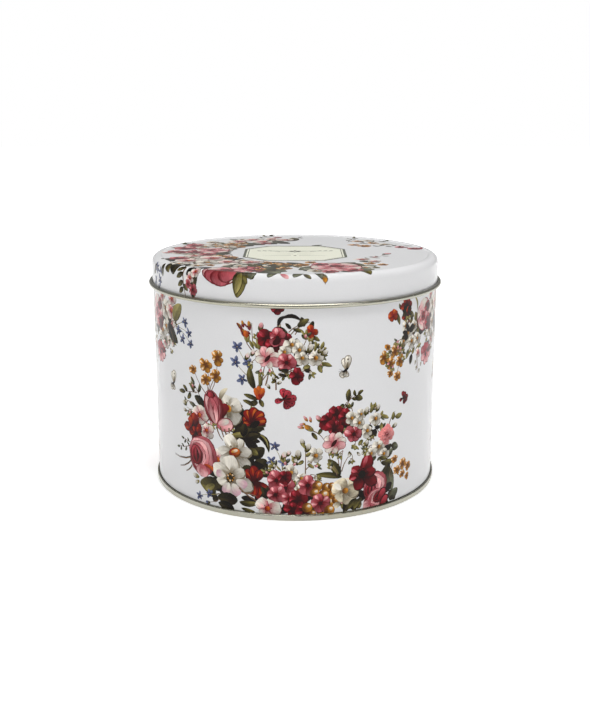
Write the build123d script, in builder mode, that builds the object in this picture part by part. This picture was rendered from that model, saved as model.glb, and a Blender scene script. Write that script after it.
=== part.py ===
from build123d import *
import os
from collections import namedtuple
from math import acos, degrees, sin, sqrt

# A round slip-lid tin of printed tinplate. The origin is the centre of the circle that the tin
# stands on, +Z runs up its axis, and the wall's side seam is at the back, on the +Y side.

# ---- Driving dimensions, in millimetres and degrees ----
body_radius = 75.0  # outside of the rolled wall
overall_height = 121.0  # from the foot to the lid's ridge
sheet = 0.25  # thickness of the tinplate in all three pieces

lid_clearance = 0.12  # between the wall and the lid's skirt, on the radius
lid_seat_gap = 0.02  # between the rim's curl and the shoulder that rests on it
lid_height = 15.5  # from the lid's ridge down to the underside of its curl
lid_curl_radius = 1.12  # outside of the outward curl round the lid's edge
lid_curl_sweep = 296.0
shoulder_radius = 3.6  # outside, between the lid's skirt and its ridge
ridge_width = 0.7  # flat crest round the lid's panel
panel_drop = 0.45  # from the ridge down to the lid's panel
panel_step_radius = 1.3  # of both bends of the step down to that panel

rim_curl_radius = 1.0  # outside of the inward curl round the mouth
rim_curl_sweep = 285.0

seam_height = 2.9  # double seam round the foot
seam_gap = 0.14  # sealing compound between the layers of the double seam
seam_corner_radius = 0.5  # outside of the end's two bends under the seam
end_recess = 3.1  # from the foot up to the underside of the end's outer panel
end_corner_radius = 0.8  # underside, where that panel turns down inside the wall
end_outer_panel = 9.0  # width of the outer panel, round the stiffening step
end_step_rise = 0.8  # of the middle of the end above its outer panel
end_step_radius = 1.4  # of both bends of the stiffening step

lock_seam_width = 4.4  # folded side seam, measured round the wall
lock_gap = 0.06  # between the pressed layers of the side seam
lock_bend_radius = 0.5  # outside of the bend that takes one edge under the other
lock_hook_back = 0.9  # how far each folded edge stops short of the other's fold
lock_end_margin = 2.0  # plain wall left above the end and below the rim's curl

# ---- Worked out from them ----
lid_radius = body_radius + lid_clearance + sheet
end_wall_radius = body_radius - 2 * sheet  # inside of the end's upright wall
seam_radius = body_radius + 3 * (sheet + seam_gap)
hook_radius = seam_gap + sheet / 2  # inside of each fold in the double seam
hook_top = seam_height - sheet - hook_radius
hook_foot = sheet + seam_gap + sheet + hook_radius

# The rim's curl nests in the shoulder's bend, one seat gap short of touching it.
nest_reach = shoulder_radius - sheet - rim_curl_radius - lid_seat_gap
nest_inward = (body_radius - rim_curl_radius) - (lid_radius - shoulder_radius)
rim_curl_height = overall_height - shoulder_radius + sqrt(nest_reach**2 - nest_inward**2)

lock_foot = end_recess + end_step_rise + sheet + lock_end_margin
lock_top = rim_curl_height - rim_curl_radius - lock_end_margin

Run = namedtuple("Run", "length")  # a straight stretch of sheet
Bend = namedtuple("Bend", "radius angle")  # an arc, which turns left where the angle is positive
LEFT, RIGHT = 1, -1
EAST, SOUTH, NORTH = (1, 0), (0, -1), (0, 1)


def bent_sheet(start, heading, moves, side):
    """Outlines a bent sheet: one face follows the moves, and the other lies a thickness to that side."""
    ahead = Vector(*heading).normalized()
    across = Vector(-ahead.Y, ahead.X) * side
    face_ends = []
    for depth in (0, sheet):
        point = first = Vector(*start) + across * depth
        tangent = ahead
        for move in moves:
            if isinstance(move, Run):
                stretch = Line(point, point + tangent * move.length)
            else:
                nearer = depth if (move.angle > 0) == (side == LEFT) else -depth
                stretch = JernArc(point, tangent, move.radius - nearer, move.angle)
                tangent = stretch % 1
            point = stretch @ 1
        face_ends.append((first, point))
    for one_face, other_face in zip(*face_ends):
        Line(one_face, other_face)


def shift_bends(radius, height):
    """Gives the turn of two equal bends that shift a sheet sideways by height, and how far they run on."""
    turn = acos(1 - height / (2 * radius))
    return degrees(turn), 2 * radius * sin(turn)


def corner_angle(one, other, opposite):
    """Angle between two sides of a triangle, from its three lengths."""
    return degrees(acos((one**2 + other**2 - opposite**2) / (2 * one * other)))


# ---- Body wall: one rolled sheet, hooked out round the foot and curled in round the mouth ----
foot_moves = [
    Run(hook_top - hook_foot),
    Bend(hook_radius, -180),
    Run(lock_foot - hook_foot),
]
rim_moves = [
    Run(rim_curl_height - lock_top),
    Bend(rim_curl_radius, rim_curl_sweep),
]

# Side seam. Its layers, from the outside in, each one pitch inside the last, are the flush edge,
# the under edge's hook, the flush edge's hook and the under edge, which steps in below the rest.
lock_pitch = sheet + lock_gap
lock_span = degrees(lock_seam_width / body_radius)
hook_span = degrees((lock_seam_width - lock_hook_back) / body_radius)
flush_fold = lock_pitch + sheet / 2
under_fold = lock_pitch - sheet / 2
flush_hook_radius = body_radius - 2 * flush_fold
under_hook_radius = body_radius - lock_pitch - sheet
# The step in is two bends. The second has the flush edge's fold inside it, on the same centre.
step_bend_radius = flush_fold + lock_gap
bend_centre = body_radius - lock_bend_radius
fold_centre = body_radius - flush_fold
between_centres = lock_bend_radius + step_bend_radius
step_span = corner_angle(bend_centre, fold_centre, between_centres)
step_turn = 180 - corner_angle(bend_centre, between_centres, fold_centre)
fold_place = 90 - lock_span / 2  # the flush edge's fold, measured round from +X
tip_place = fold_place + hook_span
hook_tip = Vector(flush_hook_radius, 0).rotate(Axis.Z, tip_place)
tip_heading = Vector(0, -1).rotate(Axis.Z, tip_place)
ring_moves = [
    Bend(flush_hook_radius, -hook_span),
    Bend(flush_fold, 180),
    Bend(body_radius, 360 - step_span),
    Bend(lock_bend_radius, step_turn),
    Bend(step_bend_radius, step_span - step_turn),
    Bend(body_radius - 3 * lock_pitch, lock_span),
    Bend(under_fold, -180),
    Bend(under_hook_radius, -hook_span),
]

with BuildPart() as body_wall:
    with BuildSketch(Plane.XZ):
        with BuildLine():
            hook_start = (body_radius + 2 * hook_radius, hook_top)
            bent_sheet(hook_start, SOUTH, foot_moves, LEFT)
        make_face()
    revolve(axis=Axis.Z)
    with BuildSketch(Plane.XZ):
        with BuildLine():
            bent_sheet((body_radius, lock_top), NORTH, rim_moves, LEFT)
        make_face()
    revolve(axis=Axis.Z)
    with BuildSketch(Plane.XY.offset(lock_foot)):
        with BuildLine():
            bent_sheet(hook_tip, tip_heading, ring_moves, LEFT)
        make_face()
    extrude(amount=lock_top - lock_foot)

# ---- Bottom end: a pressed disc, raised inside the wall and folded round the wall's hook ----
end_turn, end_step_run = shift_bends(end_step_radius, end_step_rise)
end_moves = [
    Run(end_wall_radius - end_corner_radius - end_outer_panel - end_step_run),
    Bend(end_step_radius, -end_turn),
    Bend(end_step_radius, end_turn),
    Run(end_outer_panel),
    Bend(end_corner_radius, -90),
    Run(end_recess - end_corner_radius - seam_corner_radius),
    Bend(seam_corner_radius, 90),
    Run(seam_radius - end_wall_radius - 2 * seam_corner_radius),
    Bend(seam_corner_radius, 90),
    Run(hook_top - seam_corner_radius),
    Bend(hook_radius + sheet, 180),
    Run(hook_top - hook_foot),
]

with BuildPart() as bottom_end:
    with BuildSketch(Plane.XZ):
        with BuildLine():
            bent_sheet((0, end_recess + end_step_rise), EAST, end_moves, LEFT)
        make_face()
    revolve(axis=Axis.Z)

# ---- Lid: one drawn sheet, with a sunk panel, a rounded shoulder, a skirt and an outward curl ----
panel_turn, panel_step_run = shift_bends(panel_step_radius, panel_drop)
lid_moves = [
    Run(lid_radius - shoulder_radius - ridge_width - panel_step_run),
    Bend(panel_step_radius, panel_turn),
    Bend(panel_step_radius, -panel_turn),
    Run(ridge_width),
    Bend(shoulder_radius, -90),
    Run(lid_height - lid_curl_radius - shoulder_radius),
    Bend(lid_curl_radius - sheet, lid_curl_sweep),
]

with BuildPart() as lid:
    with BuildSketch(Plane.XZ):
        with BuildLine():
            bent_sheet((0, overall_height - panel_drop), EAST, lid_moves, RIGHT)
        make_face()
    revolve(axis=Axis.Z)

os.makedirs("parts", exist_ok=True)
for name, piece in {"body_wall": body_wall, "bottom_end": bottom_end, "lid": lid}.items():
    piece.part.label = name
    export_step(piece.part, f"parts/{name}.step")
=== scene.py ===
"""Builds the looks of a round slip-lid tin, whose wall and lid are printed with garden flowers.

The print is laid out flat, shape over shape in the order that it would be painted, and cut so
that every patch of ink is its own piece of a thin film. The film is then wrapped round the wall
or drawn down over the lid. The lid's own sheet is spun from its section.
"""

from collections import namedtuple
from math import acos, cos, degrees, hypot, pi, radians, sin
from random import Random

import bpy
import numpy as np
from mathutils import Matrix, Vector
from mathutils.bvhtree import BVHTree
from mathutils.geometry import delaunay_2d_cdt


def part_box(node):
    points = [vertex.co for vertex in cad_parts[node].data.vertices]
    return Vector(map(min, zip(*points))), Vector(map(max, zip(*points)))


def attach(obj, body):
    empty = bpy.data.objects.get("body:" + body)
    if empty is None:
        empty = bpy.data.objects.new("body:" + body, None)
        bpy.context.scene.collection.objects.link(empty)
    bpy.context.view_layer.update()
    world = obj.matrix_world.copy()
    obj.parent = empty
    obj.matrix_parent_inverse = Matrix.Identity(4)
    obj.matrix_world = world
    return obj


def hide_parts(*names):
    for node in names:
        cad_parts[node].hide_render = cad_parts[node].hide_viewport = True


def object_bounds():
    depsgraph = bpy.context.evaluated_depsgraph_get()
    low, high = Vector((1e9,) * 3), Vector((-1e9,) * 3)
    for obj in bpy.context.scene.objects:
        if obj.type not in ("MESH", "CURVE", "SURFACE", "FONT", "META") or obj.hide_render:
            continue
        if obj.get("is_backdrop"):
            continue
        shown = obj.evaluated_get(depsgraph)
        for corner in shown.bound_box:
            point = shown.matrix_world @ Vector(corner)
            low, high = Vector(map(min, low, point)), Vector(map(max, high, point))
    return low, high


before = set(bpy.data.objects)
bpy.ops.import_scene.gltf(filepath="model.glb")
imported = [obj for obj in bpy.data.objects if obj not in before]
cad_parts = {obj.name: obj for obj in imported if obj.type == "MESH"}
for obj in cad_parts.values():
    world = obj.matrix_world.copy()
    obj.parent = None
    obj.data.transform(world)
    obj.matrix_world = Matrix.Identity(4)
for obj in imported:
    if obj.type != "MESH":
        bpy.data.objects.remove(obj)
cad_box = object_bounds()

bl_info = {
    "name": "Printed slip-lid tin",
    "version": (1, 0, 0),
    "blender": (4, 5, 0),
    "location": "View3D > Sidebar > Tin",
    "description": "Makes the lid, the printed films and the studio round the tin's frame",
    "category": "Object",
}

MM = 0.001  # metres in a millimetre; the flat artwork and the sections are drawn in millimetres

lid_low, lid_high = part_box("lid")
wall_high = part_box("body_wall")[1]

# ---- Sizes of the sheet metal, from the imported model's boxes and the maker's tooling ----
SHEET = 0.25
LID_CURL = 1.12  # outside radius of the lid's curl
LID_CURL_SWEEP = 296
LID_TOP = lid_high.z / MM
LID_HEIGHT = (lid_high.z - lid_low.z) / MM
LID_RADIUS = lid_high.x / MM - (2 * LID_CURL - SHEET)
SEAM_GAP = 0.14
SEAM_HEIGHT = 2.9
FOOT_HOOK = 2 * (SEAM_GAP + SHEET / 2) + SHEET  # how far the wall's hook stands out in the seam
WALL_RADIUS = wall_high.x / MM - FOOT_HOOK
WALL_TOP = wall_high.z / MM

LEFT_TURN, RIGHT_TURN = 1, -1

# The bare groove of the wall's side seam at the back: its two edges, round from the front.
FLUSH_EDGE = 178.32
UNDER_EDGE = 177.56

# ---- Studio ----
Light = namedtuple("Light", "name place size power")  # in metres and watts
SOFT_LIGHTS = (
    Light("key_right", (1.2, -1.2, 0.9), (0.5, 0.8), 2.8),
    Light("fill_left", (-1.2, -1.2, 0.9), (0.5, 0.8), 3.4),
    Light("top", (0.1, -0.55, 1.35), (1.2, 0.35), 9.5),
    Light("overhead", (0.0, 0.15, 1.4), (0.8, 0.8), 9.5),
)
ROOM_FRONT = 0.16  # strength of the white room as a light, behind the camera
ROOM_BACK = 0.28  # and behind the tin
ROOM_TURN = (-0.9, 0.2)  # from the front to the back of the room, between which that changes
FLOOR_GLOW = 0.34  # light of the floor's own under the tin, as of a lit white sweep
FLOOR_SKY = 1.0  # and far from it, where it meets the white room
FLOOR_NEAR, FLOOR_FAR = 0.30, 1.3  # metres from the tin's axis between which it changes
FLOOR_SIZE = 8.0
CAMERA_LENS = 51.0
CAMERA_SENSOR = 36.0  # millimetres, as the lens is

# The lid's outer face, from the middle of its panel outwards.
SHOULDER_RADIUS = 3.6
RIDGE_WIDTH = 0.7
PANEL_DROP = 0.45
PANEL_STEP_RADIUS = 1.3
panel_turn = acos(1 - PANEL_DROP / (2 * PANEL_STEP_RADIUS))
PANEL_STEP_RUN = 2 * PANEL_STEP_RADIUS * sin(panel_turn)
PANEL_RADIUS = LID_RADIUS - SHOULDER_RADIUS - RIDGE_WIDTH - PANEL_STEP_RUN
SKIRT_LENGTH = LID_HEIGHT - LID_CURL - SHOULDER_RADIUS

Run = namedtuple("Run", "length")  # a straight stretch of sheet
Bend = namedtuple("Bend", "radius angle")  # an arc, which turns left where the angle is positive
Station = namedtuple("Station", "radius height heading")  # a point along a section, and its direction

LID_FACE = [
    Run(PANEL_RADIUS),
    Bend(PANEL_STEP_RADIUS, degrees(panel_turn)),
    Bend(PANEL_STEP_RADIUS, -degrees(panel_turn)),
    Run(RIDGE_WIDTH),
    Bend(SHOULDER_RADIUS, -90),
    Run(SKIRT_LENGTH),
]
LID_CURL_BEND = [Bend(LID_CURL - SHEET, LID_CURL_SWEEP)]

SAME_POINT = 1e-4  # points of the artwork that are closer than this are one
COLUMNS = 144  # flat strips that a printed film is cut into round the tin
SPIN_STEPS = 240  # round a spun shell
BEND_STEP = 8.0  # degrees between the points round a bend
FILM_BACK = 0.4  # share of the film's thickness that is left clear under it
WALL_SEED, LID_SEED = 11, 23  # of the small differences between flowers
MERGE_DISTANCE = 0.001  # of the points that a spin leaves on each other
SMOOTH_ANGLE = 35  # degrees: a sharper fold of the lid's sheet stays an edge

# ---- Varnish and lacquer ----
PRINT_GLOSS = 0.14  # specular level of the varnish
GRAIN_DEPTH = 0.002 * MM  # of the varnish's peel and the mill's grain
INSIDE_OVER_SHADED_OUTSIDE = 1.9  # how much paler the tin's inside is than its outside, whose darker metal partly paints the shade on the outer curl and seam
INSIDE_EDGE = (WALL_RADIUS - 0.24) * MM, (WALL_RADIUS - 0.05) * MM  # where one goes over into the other


def length(name, description, millimetres, precision=5):
    """A size that the user may change."""
    return bpy.props.FloatProperty(
        name=name, description=description, default=millimetres * MM, precision=precision, unit="LENGTH"
    )


class TinSizes(bpy.types.PropertyGroup):
    """Sizes of the printed films and of the studio."""

    film: length("Film", "Thickness of the print over the sheet", 0.035, precision=6)
    wall_margin: length("Wall margin", "Bare wall above the print, inside the lid", 2.5)
    seam_margin: length("Seam margin", "Bare wall at each side of the side seam's groove", 0.1)
    pattern_repeat: length("Pattern repeat", "How far round the wall the printed pattern repeats", 168.0)
    label_size: length("Label size", "Width of the chamfered label on the lid", 54.0)
    camera_distance: length("Camera distance", "From the tin's axis to the camera, along the floor", 534.4)
    camera_height: length("Camera height", "Of the camera above the floor", 198.6)
    camera_tilt: bpy.props.FloatProperty(
        name="Camera tilt", description="Downwards from level", default=radians(14.21), subtype="ANGLE"
    )


def linear(value):
    """Turns a screen value from 0 to 255 into the light that it stands for."""
    share = value / 255
    return share / 12.92 if share <= 0.04045 else ((share + 0.055) / 1.055) ** 2.4


def paint(name, description, red, green, blue):
    """A colour that the user may change, given as it looks on a screen."""
    return bpy.props.FloatVectorProperty(
        name=name, description=description, size=3, subtype="COLOR", min=0.0, max=1.0,
        default=(linear(red), linear(green), linear(blue)),
    )


class TinColours(bpy.types.PropertyGroup):
    """The enamel, the metal and the printing inks."""

    enamel: paint("Enamel", "White ground of the print", 214, 214, 215)
    metal: paint("Tinplate", "Bare sheet under clear lacquer", 172, 171, 160)
    floor: paint("Floor", "Studio floor", 246, 246, 246)
    rose: paint("Rose", "Middle of a pink petal", 166, 78, 86)
    rose_pale: paint("Pale rose", "Light edge of a pink petal", 210, 158, 158)
    rose_dark: paint("Dark rose", "Fold of a pink petal", 100, 28, 34)
    crimson: paint("Crimson", "Deep pink petals", 112, 12, 22)
    crimson_pale: paint("Pale crimson", "Light side of a deep pink petal", 156, 44, 56)
    maroon: paint("Maroon", "Shade between red petals", 46, 4, 6)
    red: paint("Red", "Red petals", 120, 16, 8)
    rust: paint("Rust", "Orange red petals", 152, 50, 12)
    orange: paint("Orange", "Orange buds and cups", 184, 88, 24)
    amber: paint("Amber", "Small yellow flowers", 182, 122, 38)
    amber_dark: paint("Dark amber", "Shade of the yellow flowers", 92, 50, 12)
    white: paint("Petal white", "Light of a white petal", 204, 199, 188)
    stone: paint("Stone", "Shade of a white petal", 116, 104, 84)
    lavender: paint("Lavender", "Tips of some white petals", 190, 150, 162)
    blue: paint("Blue", "Star flowers", 50, 54, 84)
    blue_pale: paint("Pale blue", "Tips of the star flowers", 92, 100, 130)
    leaf: paint("Leaf", "Olive leaves", 92, 84, 40)
    leaf_pale: paint("Pale leaf", "Light side of a leaf", 136, 126, 72)
    leaf_grey: paint("Grey leaf", "Grey green leaves", 92, 94, 74)
    leaf_dark: paint("Dark leaf", "Leaves in the shade", 42, 36, 16)
    black: paint("Black", "Deepest shade", 16, 8, 4)
    stem: paint("Stem", "Brown stems", 108, 82, 62)
    salmon: paint("Salmon", "Ruffled flowers", 204, 120, 118)
    cream: paint("Cream", "Cream petals", 214, 203, 176)
    label: paint("Label", "The label's ground", 232, 232, 214)
    label_line: paint("Label line", "Lines and scrolls of the label", 88, 92, 78)


# ---- Inks: how each part of a flower is laid down, from its base to its tip ----
# streak is fine lines along the petal, side one half lighter than the other, edge a dark rim,
# and vein a midrib with side veins.
Ink = namedtuple("Ink", "base tip streak side edge vein", defaults=(0.0, 0.0, 0.0, 0.0))
INKS = {
    "enamel": Ink("enamel", "enamel"),
    "rose": Ink("rose", "rose_pale", 0.35, 0.10, 0.30),
    "rose deep": Ink("rose_dark", "rose", 0.35, 0.15, 0.25),
    "rose light": Ink("rose_pale", "white", 0.30, 0.05, 0.15),
    "rose line": Ink("rose_dark", "rose_dark", 0.20),
    "blush": Ink("rose", "white", 0.35, 0.08, 0.22),
    "crimson": Ink("crimson", "crimson_pale", 0.40, 0.18, 0.35),
    "pink": Ink("crimson", "rose", 0.40, 0.15, 0.30),
    "crimson light": Ink("crimson", "rose", 0.40, 0.10, 0.20),
    "crimson fold": Ink("crimson", "crimson_pale", 0.30, -0.25, 0.20),
    "rose fold": Ink("rose", "rose_pale", 0.30, -0.22, 0.20),
    "blush fold": Ink("rose_pale", "rose", 0.30, -0.25, 0.25),
    "crimson deep": Ink("maroon", "crimson", 0.40, 0.20, 0.30),
    "maroon": Ink("maroon", "maroon", 0.20),
    "red": Ink("red", "rust", 0.40, 0.20, 0.35),
    "red deep": Ink("maroon", "red", 0.40, 0.20, 0.30),
    "rust": Ink("rust", "orange", 0.40, 0.20, 0.35),
    "orange": Ink("red", "orange", 0.35, 0.20, 0.30),
    "amber": Ink("amber_dark", "amber", 0.30, 0.20, 0.25),
    "amber light": Ink("amber", "cream", 0.25, 0.15, 0.15),
    "amber line": Ink("amber_dark", "amber_dark", 0.20),
    "white": Ink("stone", "white", 0.18, 0.05, 0.20),
    "white line": Ink("stone", "stone", 0.15),
    "white light": Ink("white", "white", 0.10, 0.04, 0.08),
    "lavender": Ink("white", "lavender", 0.22, 0.08, 0.25),
    "cream": Ink("stone", "cream", 0.20, 0.08, 0.20),
    "blue": Ink("blue", "blue_pale", 0.30, 0.25, 0.20),
    "blue line": Ink("blue", "blue", 0.20),
    "blue light": Ink("blue_pale", "blue_pale", 0.20, 0.10, 0.10),
    "leaf": Ink("leaf_dark", "leaf", 0.20, 0.35, 0.35, 0.45),
    "leaf pale": Ink("leaf", "leaf_pale", 0.20, 0.25, 0.30, 0.35),
    "leaf grey": Ink("leaf_dark", "leaf_grey", 0.20, 0.35, 0.30, 0.45),
    "leaf dark": Ink("black", "leaf_dark", 0.20, 0.50, 0.30, 0.60),
    "leaf line": Ink("leaf_dark", "leaf_dark", 0.10),
    "black": Ink("black", "black", 0.20),
    "stem": Ink("stem", "stem", 0.25, 0.40, 0.20),
    "stem green": Ink("leaf", "leaf_pale", 0.20, 0.40, 0.20),
    "salmon": Ink("salmon", "salmon", 0.30, 0.10, 0.30),
    "salmon line": Ink("rose_dark", "salmon", 0.20),
    "coral": Ink("red", "rose", 0.35, 0.15, 0.25),
    "wing": Ink("stone", "white", 0.45, 0.15, 0.75, 0.45),
    "wing line": Ink("black", "stone", 0.20),
    "label": Ink("label", "label"),
    "label line": Ink("label_line", "label_line", 0.15),
}


# ---- Flat artwork ----
LEAST_STEPS, MOST_STEPS = 7, 16  # points round a petal, which gets one more for each millimetre
STROKE_STEPS = 4  # points along each side of a stem
LIGHT_FROM = 125  # degrees: the painted flowers are lit from the upper left
LIT_PETAL = 0.98  # a petal that is brighter than this has a light on it
LEAST_LIT, LEAST_STAMENS = 2.2, 2.6  # radius above which a flower has such lights, and stamens
Shape = namedtuple("Shape", "outline origin reach half_width bow seed glow ink")


class Artwork:
    """A sheet of shapes in paint order. A point is a complex number, in millimetres."""

    def __init__(self, ground, seed):
        self.chance = Random(seed)
        self.shapes = []
        self.move(0)
        self.patch(ground, "enamel")

    def move(self, shift, size=1.0, turn=0.0):
        """Shapes drawn from now on are shifted, sized and turned about the sheet's zero point."""
        self.shift = shift
        self.spin = size * bent(turn)

    def place(self, point):
        """A drawn point's place on the sheet."""
        return self.shift + self.spin * point

    def lay(self, curve, base, tip, half_width, bow, ink, glow=1.0):
        """Lays a shape given in its own frame, from 0 at its base to 1 at its tip. Glow brightens its ink."""
        origin = self.place(base)
        reach = self.place(tip) - origin
        bowed = curve + 4j * bow * curve.real * (1 - curve.real)
        self.shapes.append(
            Shape(origin + reach * bowed, origin, reach, half_width, bow, self.chance.random(), glow, ink)
        )

    def patch(self, corners, ink):
        """A patch with the given corners."""
        low, high = min(corners.real), max(corners.real)
        self.lay((corners - low) / (high - low), low, high, 1.0, 0.0, ink)

    def petal(self, base, tip, width, ink, point=0.0, full=0.0, bow=0.0, ripple=0.0, glow=1.0):
        """A petal or leaf from base to tip. Its width is a share of its length. A positive point
        sharpens both ends, and a positive full moves the widest place towards the tip."""
        steps = int(min(MOST_STEPS, max(LEAST_STEPS, LEAST_STEPS + abs(tip - base))))
        turn = np.arange(steps) * 2 * pi / steps
        along = (1 - np.cos(turn)) / 2
        across = -np.sin(turn) * np.abs(np.sin(turn)) ** point * (1 + full * (2 * along - 1))
        wave = 1 + ripple * np.cos(5 * turn + 6 * self.chance.random())
        curve = 0.5 + (along - 0.5 + 1j * width / 2 * across) * wave
        self.lay(curve, base, tip, width / 2, bow, ink, glow)

    def dot(self, centre, radius, ink, glow=1.0):
        """A round spot."""
        self.petal(centre - radius, centre + radius, 1.0, ink, glow=glow)

    def stroke(self, base, tip, width, ink, bow=0.0, taper=0.5):
        """A stem or a brush line, of a width in millimetres, thinner towards its tip."""
        along = np.linspace(0, 1, STROKE_STEPS)
        half = width / 2 / abs(tip - base) * (1 - taper * along)
        curve = np.concatenate([along - 1j * half, (along + 1j * half)[::-1]])
        self.lay(curve, base, tip, half[0], bow, ink)

    def loose(self, spread):
        """A factor close to one."""
        return 1 + self.chance.uniform(-spread, spread)


def bent(angle):
    """A unit step in a direction, in degrees."""
    return complex(cos(radians(angle)), sin(radians(angle)))


# ---- Films: artwork cut into patches and wrapped round the tin ----
def cut_flat(points, edges, faces):
    """Triangulates flat points with the given edges and faces kept."""
    vectors = [Vector((p.real, p.imag)) for p in points]
    cut = delaunay_2d_cdt(vectors, edges, faces, 0, SAME_POINT, True)
    found, _, triangles, from_points, _, from_faces = cut
    return np.array([complex(*p) for p in found]), np.array(triangles), from_points, from_faces


def seen_outlines(triangles, owners, from_points):
    """Keeps only the edges between two patches, and drops the points that hidden outlines left on them."""
    ends = np.concatenate([triangles[:, pair] for pair in ((0, 1), (1, 2), (2, 0))])
    ends.sort(axis=1)
    order = np.lexsort((ends[:, 1], ends[:, 0]))
    ends, sides = ends[order], np.tile(owners, 3)[order]
    shared = np.flatnonzero((ends[1:] == ends[:-1]).all(axis=1) & (sides[1:] != sides[:-1]))
    near = {}
    for a, b in ends[shared].tolist():
        near.setdefault(a, set()).add(b)
        near.setdefault(b, set()).add(a)
    for point in list(near):
        if len(near[point]) == 2 and not from_points[point]:
            a, b = near[point]
            if b not in near[a]:
                near[a] = near[a] - {point} | {b}
                near[b] = near[b] - {point} | {a}
                del near[point]
    return [(a, b) for a, others in near.items() for b in others if a < b]


def cut_sheet(shapes, rows, closed):
    """Cuts the sheet along every outline that is seen and along the grid that it will bend on. Gives
    the points, the triangles, the topmost shape of each, and the grid's place among the points."""
    nodes = rows.ravel()
    grid = np.arange(nodes.size).reshape(rows.shape)
    folds = [(a, b) for low, high in zip(grid.tolist(), grid[1:].tolist()) for a, b in zip(low, high)]
    if closed:
        folds += [(ring[i], ring[i - 1]) for ring in grid.tolist() for i in range(len(ring))]
    outlines = [nodes] + [shape.outline for shape in shapes]
    starts = np.cumsum([outline.size for outline in outlines])
    faces = [list(range(low, high)) for low, high in zip(starts, starts[1:])]
    points, triangles, from_points, from_faces = cut_flat(np.concatenate(outlines), folds, faces)
    owners = np.array([max(owned) if 0 in owned else -1 for owned in from_faces])
    painted = BVHTree.FromPolygons([(p.real, p.imag, 0) for p in points], triangles.tolist())

    ground = shapes[0].outline
    first = nodes.size + ground.size
    seen = [(a + first, b + first) for a, b in seen_outlines(triangles, owners, from_points)]
    used = sorted({point for edge in seen for point in edge})
    slim = {point: first + i for i, point in enumerate(used)}
    kept_points = np.concatenate([nodes, ground, points[np.array(used) - first]])
    edges = folds + [(slim[a], slim[b]) for a, b in seen]
    whole = [list(range(nodes.size, first))]
    points, triangles, from_points, from_faces = cut_flat(kept_points, edges, whole)
    triangles = triangles[[bool(owned) for owned in from_faces]]
    middles = points[triangles].mean(axis=1)
    down = Vector((0, 0, -1))
    hits = [painted.ray_cast(Vector((p.real, p.imag, 1)), down)[2] for p in middles]
    tops = np.array([0 if hit is None else max(owners[hit], 0) for hit in hits])
    at = {source: i for i, sources in enumerate(from_points) for source in sources if source < nodes.size}
    return points, triangles, tops, np.vectorize(at.__getitem__)(grid)


def border_chains(triangles, corners):
    """Walks the sheet's border, and cuts it at the given corners."""
    half = {(int(a), int(b)) for t in triangles for a, b in zip(t, np.roll(t, -1))}
    onward = {a: b for a, b in half if (b, a) not in half}
    start = next(a for a in onward if a in corners)
    chains = [[start]]
    here = onward[start]
    while here != start:
        chains[-1].append(here)
        if here in corners:
            chains.append([here])
        here = onward[here]
    chains[-1].append(start)
    return chains


def make_film(name, shapes, rows, closed, wrap, map_front, map_back, film):
    """Makes a thin closed film: the cut artwork in front, and a coarse back under it."""
    points, triangles, owners, grid = cut_sheet(shapes, rows, closed)
    front, outward = wrap(points, film)
    back, _ = wrap(rows.ravel(), film * FILM_BACK)
    back_of = {int(n): len(points) + i for i, n in enumerate(grid.ravel())}
    border = {int(n) for n in (grid[-1] if closed else grid.ravel())}
    sides = [
        chain[::-1] + [back_of[chain[0]], back_of[chain[-1]]] for chain in border_chains(triangles, border)
    ]
    backs = []
    for low, high in zip(grid, grid[1:]):
        for i in range(0 if closed else 1, rows.shape[1]):
            quad = [back_of[int(n)] for n in (low[i - 1], high[i - 1], high[i], low[i])]
            backs.append(quad[::-1] if closed else quad)
    if closed:
        backs.append([back_of[int(n)] for n in grid[0]][::-1])
    mesh = bpy.data.meshes.new(name)
    mesh.from_pydata(
        [Vector(p) * MM for p in np.vstack([front, back])], [], triangles.tolist() + sides + backs
    )
    mesh.update()
    add_ink(mesh, shapes, points, triangles, owners)
    add_map(mesh, points, rows.ravel(), map_front, map_back, triangles.size)
    smooth_film(mesh, outward, triangles.size, len(triangles))
    piece = bpy.data.objects.new(name, mesh)
    bpy.context.scene.collection.objects.link(piece)
    return piece


def add_ink(mesh, shapes, points, triangles, owners):
    """Gives each patch its ink, and each of its corners its place in the petal that it is part of."""
    colours = bpy.context.scene.tin_colours
    table = {key: tuple(getattr(colours, key)) + (1.0,) for key in colours.__annotations__}
    spare = len(mesh.polygons) - len(triangles)
    inks = [INKS[shape.ink] for shape in shapes]

    def per_patch(name, rows):
        values = np.array(rows, np.float32)[owners]
        values = np.vstack([values, np.tile(np.array(rows[0], np.float32), (spare, 1))])
        mesh.attributes.new(name, "FLOAT_COLOR", "FACE").data.foreach_set("color", values.ravel())

    glows = [shape.glow for shape in shapes]
    per_patch("ink_base", [tuple(glow * c for c in table[ink.base]) for ink, glow in zip(inks, glows)])
    per_patch("ink_tip", [tuple(glow * c for c in table[ink.tip]) for ink, glow in zip(inks, glows)])
    per_patch("ink_marks", [(ink.streak, ink.side, ink.edge, ink.vein) for ink in inks])
    corner_shape = np.repeat(owners, 3)

    def of_shape(values):
        return np.array(values)[corner_shape]

    own = points[triangles.ravel()] - of_shape([s.origin for s in shapes])
    own = own / of_shape([s.reach for s in shapes])
    across = own.imag - 4 * of_shape([s.bow for s in shapes]) * own.real * (1 - own.real)
    across /= of_shape([s.half_width for s in shapes])
    place = np.zeros((len(mesh.loops), 3), np.float32)
    place[: triangles.size] = np.stack([own.real, across, of_shape([s.seed for s in shapes])], 1)
    mesh.attributes.new("ink_place", "FLOAT_VECTOR", "CORNER").data.foreach_set("vector", place.ravel())


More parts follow.
